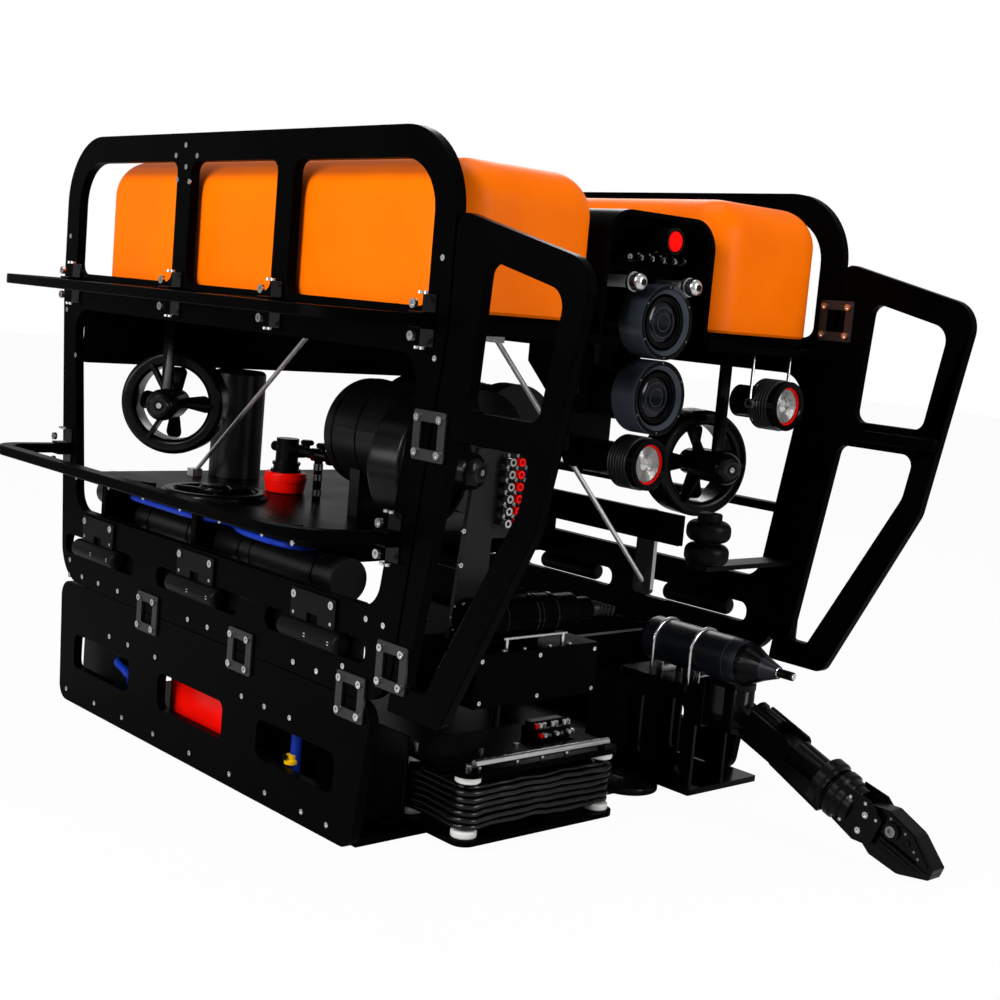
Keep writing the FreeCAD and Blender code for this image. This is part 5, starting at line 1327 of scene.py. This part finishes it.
@dataclass
class PodShell:
    """Blunt sleeve and steel tip of the pod over the arm.

    Args:
        swell: Thickness of the sleeve in millimetres.
    """

    swell: float = 2.4

    def build(self) -> None:
        """Make the sleeve and the tip."""
        pod = box_of("beacon_pod")
        foot, radius, length = pod.face(0, -1), pod.size.z / 2 / MM, pod.size.x / MM
        outer = radius + self.swell
        settle(lathe([
            (0, 6), (outer - 2, 6), (outer, 8), (outer, 0.6 * length),
            (outer - 0.8, 0.605 * length), (outer, 0.61 * length), (outer - 1, 0.67 * length),
            (0.86 * radius, 0.72 * length), (0.42 * radius, 0.86 * length),
            (0.3 * radius, 0.9 * length), (0, 0.9 * length)], foot, steps=72),
            "pod_sleeve", (POD,), smooth=24.0)
        settle(lathe([
            (0, 0.885 * length), (8, 0.885 * length), (8, 0.9 * length),
            (5.6, 0.905 * length), (6.6, 0.92 * length), (6.6, 0.985 * length),
            (4.6, length + 0.6), (0, length + 0.6)], foot, steps=40),
            "pod_tip", (STEEL,))


# ---------------------------------------------------------------- arm

@dataclass
class ArmDressing:
    """Tubes, collars, cheeks and jaw plates of the manipulator, in millimetres.

    Args:
        root: Middle of the shoulder joint in metres.
        pitch: Slope of the arm in radians.
        elbow: Distance of the elbow from the shoulder.
        pivot: Distance of the jaw pins from the shoulder.
        reach: Length of a jaw.
        cheek: Distance of the outside of a jaw cheek from the plane of the arm.
        bolts: Place along and above the jaw pins, and radius, of each bolt of the wrist.
        studs: Place along and above the jaw pins of each small stud of the upper jaw.
        eye: Place along and above the jaw pins of the eye of the upper jaw.
    """

    root: Vector = field(default_factory=lambda: Vector((0.54, 0.24, 0.17)))
    pitch: float = math.radians(21)
    elbow: float = 110.0
    pivot: float = 290.3
    reach: float = 125.0
    cheek: float = 17.2
    bolts: tuple[tuple[float, float, float], ...] = (
        (-34, 22, 2.8), (-34, -20, 2.8), (-8, 29, 2.8), (0, 14, 5), (0, -14, 5), (18, 18, 2.4))
    studs: Pairs = ((64, 28), (88, 14), (34, 32), (98, 9))
    eye: tuple[float, float] = (44, 17)

    def point(self, along: float, across: float, up: float) -> Vector:
        """Return the place of a point that is given in the frame of the arm.

        Args:
            along: Distance from the shoulder along the arm.
            across: Distance to port.
            up: Distance above the arm.

        Returns:
            The point in metres.
        """
        turn = Matrix.Rotation(self.pitch, 3, "Y")
        return self.root + turn @ Vector((along, across, up)) * MM

    def slab(self, corners: Profile, low: float, high: float) -> bpy.types.Mesh:
        """Make a flat plate on edge.

        Args:
            corners: Points along and above the arm.
            low: Distance of its starboard face from the plane of the arm.
            high: Distance of its port face.

        Returns:
            The plate with chamfered edges.
        """
        made = bmesh.new()
        near, far = ([made.verts.new(self.point(along, across, up)) for along, up in corners]
                     for across in (low, high))
        made.faces.new(near)
        made.faces.new(list(reversed(far)))
        for k in range(len(corners)):
            after = (k + 1) % len(corners)
            made.faces.new((near[k], far[k], far[after], near[after]))
        bmesh.ops.recalc_face_normals(made, faces=made.faces)
        # Chamfer faces take index 1, the painted edge highlight.
        return bevelled(mesh_of(made, "slab"), 1.1 * MM, 1)

    def turned(self, profile: Profile, along: float, up: float = 0.0) -> bpy.types.Mesh:
        """Make a turned piece that lies along the arm.

        Args:
            profile: Radius and height pairs.
            along: Distance of its foot from the shoulder.
            up: Distance of its axis above the arm.

        Returns:
            The piece.
        """
        foot = self.point(along, 0, up)
        return lathe(profile, foot, self.point(along + 1, 0, up) - foot, 56)

    def build(self) -> None:
        """Make the pieces of every link of the arm."""
        slot, elbow, pivot = "black_anodised", self.elbow, self.pivot
        settle(self.turned([(0, 0), (15, 0), (17, 2), (17, 9), (14.5, 10), (14.5, 50),
                            (0, 50)], 36, 19), "upper_arm_tube", ANODISED_WITH_SHEEN, "upper_arm")
        end = pivot - 70
        length = end - elbow - 24
        trough = [self.slab(((elbow + 2, -25), (end, -33), (end, -27), (elbow + 2, -19)),
                            -33, 33)]
        trough += [self.slab(((elbow + 22, -24), (end, -31), (end, 2), (elbow + 22, -4)),
                             across, across + 4) for across in (-33, 29)]
        trough.append(self.turned([(0, 0), (16, 0), (18, 2), (18, length), (0, length)],
                                  elbow + 24, 12))
        trough.append(self.turned([(26, 0), (39, 0), (41, 2), (41, 16), (37, 19), (37, 24),
                                   (26, 24)], end - 28))
        settle(merged(trough), "fore_arm_trough", ANODISED_WITH_SHEEN, "fore_arm")
        start = end + 2
        collar = [self.turned([(20, 0), (37, 0), (39, 2), (39, 12), (35, 16), (35, 26),
                               (33, 28), (20, 28)], start)]
        collar += [self.slab(((start + 20, -29), (pivot - 4, -34), (pivot + 26, -24),
                              (pivot + 26, 22), (pivot - 4, 36), (start + 20, 31)),
                             across, across + 3.6) for across in (-25, 21.4)]
        settle(merged(collar), "wrist_collar", ANODISED_WITH_SHEEN, "wrist")
        bolts = FastenerField("wrist_bolts", height=0.6)
        for way in (-1, 1):
            for along, up, radius in self.bolts:
                bolts.add(self.point(pivot + along, 25 * way, up), PORT * way, radius)
        bolts.build("wrist")
        self._jaw("jaw_upper", 1)
        self._cheeks("jaw_upper")
        self._jaw("jaw_lower", -1)

    def _jaw(self, body: str, way: int) -> None:
        """Make the web of a jaw, and the bars of the lower one.

        Args:
            body: Body of the jaw.
            way: 1 for the upper jaw, -1 for the lower one.
        """
        x, tip = self.pivot, self.pivot + self.reach
        web = ((x - 4, 3), (x + 18, 34), (x + 74, 32), (tip - 4, 8), (tip - 4, 0.7),
               (x + 12, 0.7))
        plates = [self.slab([(along, way * up) for along, up in web], -13, 13)]
        for level in range(3 if way < 0 else 0):
            low, high = -1.5 - 7.4 * level, -6.7 - 7.4 * level
            back, front = x + 30 + 5 * level, tip - 6 - 15 * level
            width = 18.5 - 0.8 * level
            plates.append(self.slab(((back, low), (front, low), (front - 3, high),
                                     (back, high)), -width, width))
        settle(merged(plates), f"{body}_plates", ANODISED_WITH_SHEEN, body)

    def _cheeks(self, body: str) -> None:
        """Make the pin, the cheeks and the studs of the upper jaw.

        Args:
            body: Body of the jaw.
        """
        x, tip, high = self.pivot, self.pivot + self.reach, self.eye[1]
        eye = x + self.eye[0]
        settle(lathe(hoop(0, 10, 0, 33), self.point(eye, -16.5, high), PORT, 40),
               "jaw_pin", (DULL_STEEL,), body)
        settle(merged(self.slab(((x + 28, 3), (x + 28, 37), (x + 76, 33), (tip - 8, 7),
                                 (tip - 8, 3)), across, across + 2)
                      for across in (-self.cheek, self.cheek - 2)),
               "jaw_cheeks", ANODISED_WITH_SHEEN, body)
        rings = FastenerField("jaw_eyes", finish=ANODISED, height=0.35, sunk=0.7)
        studs = FastenerField("jaw_studs", finish=DULL_STEEL, height=0.6)
        for turn in (-1, 1):
            face, out = self.cheek * turn, PORT * turn
            rings.add(self.point(eye, face, high), out, 13.5)
            rings.add(self.point(x + 72, face, 16), out, 6)
            studs.add(self.point(eye, face + turn, high), out, 8.5)
            for along, up in self.studs:
                studs.add(self.point(x + along, face, up), out, 2)
        rings.build(body, "black_anodised")
        studs.build(body)


# ---------------------------------------------------------------- decks and skid

@dataclass
class DeckFittings:
    """Valve fittings, bottle bands, thruster noses and the hose along the mid deck.

    Args:
        deck: Height of the top of the mid deck in metres.
        nut: Radius of a nut on the valve in millimetres.
        core: Distance from its axis within which a motor's nose is looked for, in metres.
        nuts: Heights of the nuts above the mid deck in millimetres.
        knobs: Places of the knobs along X in metres.
        unions: Place along X in metres and radius in millimetres of each pipe union.
        bands: Place as a share of the bottle, and width in millimetres, of each band.
    """

    deck: float = 420 * MM
    nut: float = 8.5
    core: float = 25 * MM
    nuts: tuple[float, ...] = (-1, 26, 44)
    knobs: tuple[float, ...] = (-0.165, -0.118)
    unions: Pairs = ((-0.19, 13), (-0.142, 12.5), (-0.095, 14))
    bands: Pairs = ((0.08, 5), (0.3, 3), (0.56, 7), (0.62, 2), (0.9, 5))

    def build(self) -> None:
        """Make the fittings on and under the mid deck."""
        self._valve()
        self._bands()
        self._noses()
        tube("edge_hose", HOSE, 5.5, (
            (-0.386, -0.293, 0.379), (-0.352, -0.35, 0.386), (-0.32, -0.396, 0.394),
            (-0.2, -0.397, 0.394), (-0.1, -0.396, 0.394), (-0.055, -0.37, 0.394),
            (-0.015, -0.37, 0.394), (0.03, -0.396, 0.393), (0.15, -0.397, 0.392),
            (0.17, -0.36, 0.388), (0.12, -0.31, 0.38), (0.045, -0.293, 0.379)))

    def _valve(self) -> None:
        """Make the collars, knobs and nuts of the relief valve."""
        foot = box_of("valve_cap").face(2, 1)
        settle(lathe([(33, 0), (38.4, 1), (38.4, 8), (33, 9)], foot - ABOVE * 16 * MM, ABOVE,
                     48), "cap_rim", (RED,))
        pieces = [lathe([(18, 0), (27, 0), (27, 5), (23, 6), (23, 12), (25, 13), (25, 18),
                         (18, 18)], foot, ABOVE, 24)]
        pipe_z = box_of("relief_valve").high.z - 18 * MM
        pieces += [lathe([(0, 0), (5, 0), (5, 12), (11, 14), (12, 19), (9, 22), (0, 22)],
                         (x, foot.y, pipe_z), ABOVE, 20) for x in self.knobs]
        pieces += [lathe(hoop(8, radius, 0, 11), (x, foot.y, pipe_z), AHEAD, 6)
                   for x, radius in self.unions]
        settle(merged(pieces), "valve_fittings", (MOULDED,))
        nuts = FastenerField("valve_nuts", head=Head.HEX, height=1.3, sunk=0.6)
        ring = [vert.co.x for vert in FRAME["nodes"]["relief_valve"].data.vertices
                if vert.co.z < self.deck + 10 * MM]
        for rise in self.nuts:
            nuts.add(((min(ring) + max(ring)) / 2, foot.y, self.deck + rise * MM), ABOVE,
                     self.nut)
        nuts.build()

    def _bands(self) -> None:
        """Make the shoulder bands of the bottles and of the side housings."""
        rings = []
        for node in ("main_bottles", "side_housings"):
            skin = bmesh.new()
            skin.from_mesh(FRAME["nodes"][node].data)
            tree = BVHTree.FromBMesh(skin)
            skin.free()
            for block in loose_parts(node):
                size, foot = block.size, block.face(0, -1)
                if size.x < 0.2 or abs(size.y - size.z) > 2 * MM:
                    continue
                for share, width in self.bands:
                    at = foot + AHEAD * share * size.x
                    radius = self._surface(tree, at + AHEAD * width / 2 * MM, size.z) / MM
                    rings.append(lathe([
                        (radius - 2, 0), (radius + 1.2, 0.4), (radius + 1.2, width - 0.4),
                        (radius - 2, width)], at, steps=72))
        settle(merged(rings), "bottle_bands", (ANODISED,))

    @staticmethod
    def _surface(tree: BVHTree, place: Vector, reach: float) -> float:
        """Measure the radius of a tube that lies along X.

        Args:
            tree: Search tree of the node that holds the tube.
            place: Point on the axis of the tube.
            reach: Length of the rays.

        Returns:
            The smallest radius found round the axis.
        """
        hits = (tree.ray_cast(place, out, reach)[0] for out in spokes(8))
        return min(((hit - place).length for hit in hits if hit is not None),
                   default=reach / 2)

    def _noses(self) -> None:
        """Put a ring and a screw on the nose of every horizontal thruster."""
        for joint in FRAME["record"]["behaviour"]["joints"]:
            body = joint["child"]
            if not body.startswith("propeller") or "lift" in body:
                continue
            at, axis = Vector(joint["pos_m"]), Vector(joint["axis"]).normalized()
            motor = body.replace("propeller", "thruster")
            arms = [vert.co - at for vert in FRAME["nodes"][motor].data.vertices]
            end = max((arm.dot(axis) for arm in arms if arm.cross(axis).length < self.core),
                      key=abs)
            way = axis * math.copysign(1.0, end)
            settle(lathe([(9, -9), (16, -9), (16, -1), (14, 0.6), (9, 0.6)], at + axis * end,
                         way, 40), f"{motor}_nose", (CABLE,))
            screw = FastenerField(f"{motor}_screw", height=0.5)
            screw.add(at + axis * end - way * 0.5 * MM, way, 4.6)
            screw.build()


@dataclass
class SkidBay:
    """Painted shade behind the windows of the skid and the weight slots: dark sheets where the
    inside lies in shade, and the hoses that show there.

    Args:
        sheet: Thickness of a dark sheet of painted shade in metres.
        shade_sheets: Middle along X, distance from the middle plane, and length of each dark
            sheet of painted shade inside the skid.
        hoses: Places along X of the two hoses.
        shade_backing: Middle and size of the dark sheet of painted shade behind the starboard
            weight slots.
    """

    sheet: float = 6 * MM
    shade_sheets: tuple[tuple[float, float, float], ...] = (
        (-0.3985, 0.372, 0.187), (0.262, 0.3, 0.22))
    hoses: tuple[float, float] = (-0.292, 0.204)
    shade_backing: tuple[tuple[float, ...], tuple[float, ...]] = (
        (-0.035, -0.4022, 0.307), (0.83, 0.0024, 0.086))

    def build(self) -> None:
        """Make the painted-shade sheets, the elbow, the connector and the clips."""
        for label, side in SIDES:
            cubes = []
            for x, y, length in self.shade_sheets:
                cubes += [((x, side * y, 0.078), (length, self.sheet, 0.13)),
                          ((x, side * (y + 0.02), 0.016), (length, 0.04, self.sheet))]
            # Dark sheets of painted shade inside the skid, behind its windows.
            settle(boxes(cubes, 1 * MM), f"skid_shade_sheet_{label}", (CASING,))
        # Dark sheet of painted shade behind the starboard weight slots.
        settle(boxes((self.shade_backing,), 0.5 * MM), "slot_shade_backing", (CASING,))
        tube("bay_elbow", HOSE, 6.5, (
            (-0.292, -0.38, 0.05), (-0.296, -0.386, 0.078), (-0.32, -0.391, 0.092),
            (-0.345, -0.387, 0.094), (-0.362, -0.374, 0.092)))
        settle(lathe([(0, 0), (10, 0), (10, 5), (7.5, 7), (7.5, 14), (0, 14)],
                     (self.hoses[1], -0.388, 0.066), ABOVE, 32),
               "hose_connector", (YELLOW,))
        ribs = FastenerField("hose_clips", finish=CASING, head=Head.HEX, height=0.6)
        for x in self.hoses:
            for z in (0.05, 0.078):
                ribs.add((x, -0.398, z), -PORT, 5)
        ribs.build(slot="black_rubber")


# ---------------------------------------------------------------- studio

def direct_rays(tree: bpy.types.NodeTree) -> tuple[bpy.types.Node, bpy.types.Node]:
    """Add the nodes that tell rays of the camera and through clear parts from others.

    Args:
        tree: Tree that takes them.

    Returns:
        The light path node, and the node whose output is 1 for such a ray.
    """
    path = add_node(tree, "ShaderNodeLightPath")
    return path, add_node(tree, "ShaderNodeMath", {
        0: path.outputs["Is Camera Ray"], 1: path.outputs["Is Transmission Ray"]},
        operation="MAXIMUM")


@dataclass
class Studio:
    """Floor, backdrop, lamps and the camera.

    Args:
        eye: Place of the camera.
        turn: Turn of the camera about the vertical.
        dip: Angle by which it looks down.
        roll: Turn about its own axis.
        lens: Focal length on a 36 mm sensor.
        reach: Half the width of the floor.
        aim: Point that the lamps face.
        pale: Share of its glow that the camera sees of the floor.
        lamps: Name, place, width and height, and power in watts of each soft box.
    """

    eye: Vector = field(default_factory=lambda: Vector((2.066765, -1.706258, 0.778790)))
    turn: float = 0.832107
    dip: float = 0.125912
    roll: float = 0.0875795
    lens: float = 55.856
    reach: float = 14.0
    aim: Vector = field(default_factory=lambda: Vector((0.1, 0, 0.5)))
    pale: float = 0.965
    lamps: tuple[tuple[str, tuple[float, ...], tuple[float, float], float], ...] = (
        ("key", (0.6, -3.2, 2.6), (0.9, 1.4), 92),
        ("side", (-0.3, -3.6, 1.1), (2.2, 0.7), 44),
        ("front", (3.4, 0.8, 1.7), (0.8, 1.6), 60),
        ("top", (-0.2, 0.4, 3.6), (1.4, 1.4), 26),
        ("rim", (-2.2, 2.6, 2.4), (1.2, 1.8), 30))

    def camera(self) -> None:
        """Make the camera."""
        ahead = Vector((-math.sin(self.turn) * math.cos(self.dip),
                        math.cos(self.turn) * math.cos(self.dip), -math.sin(self.dip)))
        right = Vector((math.cos(self.turn), math.sin(self.turn), 0))
        above = right.cross(ahead)
        across = right * math.cos(self.roll) + above * math.sin(self.roll)
        up = above * math.cos(self.roll) - right * math.sin(self.roll)
        data = bpy.data.cameras.new("camera")
        data.lens = self.lens
        data.sensor_width = 36.0
        data.clip_start = 0.05
        holder = linked("camera", data)
        rows = zip(across, up, -ahead, self.eye)
        holder.matrix_world = Matrix((*rows, (0, 0, 0, 1)))
        bpy.context.scene.camera = holder

    def floor(self) -> None:
        """Make the pale floor, which the camera sees as white."""
        mesh = bpy.data.meshes.new("floor")
        mesh.from_pydata([(x * self.reach, y * self.reach, 0)
                          for x, y in ((-1, -1), (1, -1), (1, 1), (-1, 1))],
                         [], [(0, 1, 2, 3)])
        pale = bpy.data.materials.new("pale_floor")
        pale.use_nodes = True
        tree = pale.node_tree
        shader = tree.nodes["Principled BSDF"]
        wire(tree, shader, {"Base Color": (0.78, 0.78, 0.78, 1), "Roughness": 0.85,
                            "Specular IOR Level": 0.1})
        glow = add_node(tree, "ShaderNodeEmission", {"Strength": 1.0})
        seen = add_node(tree, "ShaderNodeMath", {0: direct_rays(tree)[1], 1: self.pale},
                        operation="MULTIPLY")
        mix = add_node(tree, "ShaderNodeMixShader", {"Fac": seen, 1: shader, 2: glow})
        wire(tree, tree.nodes["Material Output"], {"Surface": mix})
        mesh.materials.append(pale)
        linked("floor", mesh)

    def world(self) -> None:
        """Make the world: white where seen, dim where it lights."""
        world = bpy.data.worlds.new("studio")
        bpy.context.scene.world = world
        world.use_nodes = True
        tree = world.node_tree
        path, direct = direct_rays(tree)
        glossy = add_node(tree, "ShaderNodeMath", {0: path.outputs["Is Glossy Ray"], 1: 0.4},
                          operation="MULTIPLY")
        either = add_node(tree, "ShaderNodeMath", {0: direct, 1: glossy},
                          operation="MAXIMUM")
        level = add_node(tree, "ShaderNodeMapRange", {
            "To Min": 0.1, "To Max": 1.0, "Value": either})
        wire(tree, tree.nodes["Background"], {"Color": (1, 1, 1, 1), "Strength": level})

    def lamp(self, name: str, at: tuple[float, ...], size: tuple[float, float],
             power: float) -> None:
        """Make one soft box that faces the vehicle.

        Args:
            name: Name of the lamp.
            at: Its place.
            size: Width and height.
            power: Power in watts.
        """
        data = bpy.data.lights.new(name, "AREA")
        data.shape = "RECTANGLE"
        data.size, data.size_y = size
        data.energy = power
        way = self.aim - Vector(at)
        linked(name, data).matrix_world = Matrix.Translation(at) @ way.to_track_quat(
            "-Z", "Y").to_matrix().to_4x4()

    def build(self) -> None:
        """Make the whole studio."""
        bpy.context.scene.view_settings.view_transform = "Standard"
        self.camera()
        self.floor()
        self.world()
        for row in self.lamps:
            self.lamp(*row)


def main() -> None:
    """Build every sub-assembly in order."""
    logging.basicConfig(level=logging.INFO, format="%(message)s")
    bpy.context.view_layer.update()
    for part in (Studio(), Skins(), Fastenings(),
                 Camera("camera_upper", "tilt_unit", 43), Camera("camera_lower", "tilt_unit", 43),
                 Lamp("lamp_centre", "tilt_unit", 34), Lamp("lamp_port", "port_lamp", 34),
                 HoodFittings(), TrayWinding(), TrayFittings(), BoxFittings(), PlugCaps(),
                 PodShell(), DeckFittings(), ArmDressing(), SkidBay()):
        part.build()


if __name__ == "__main__":
    main()
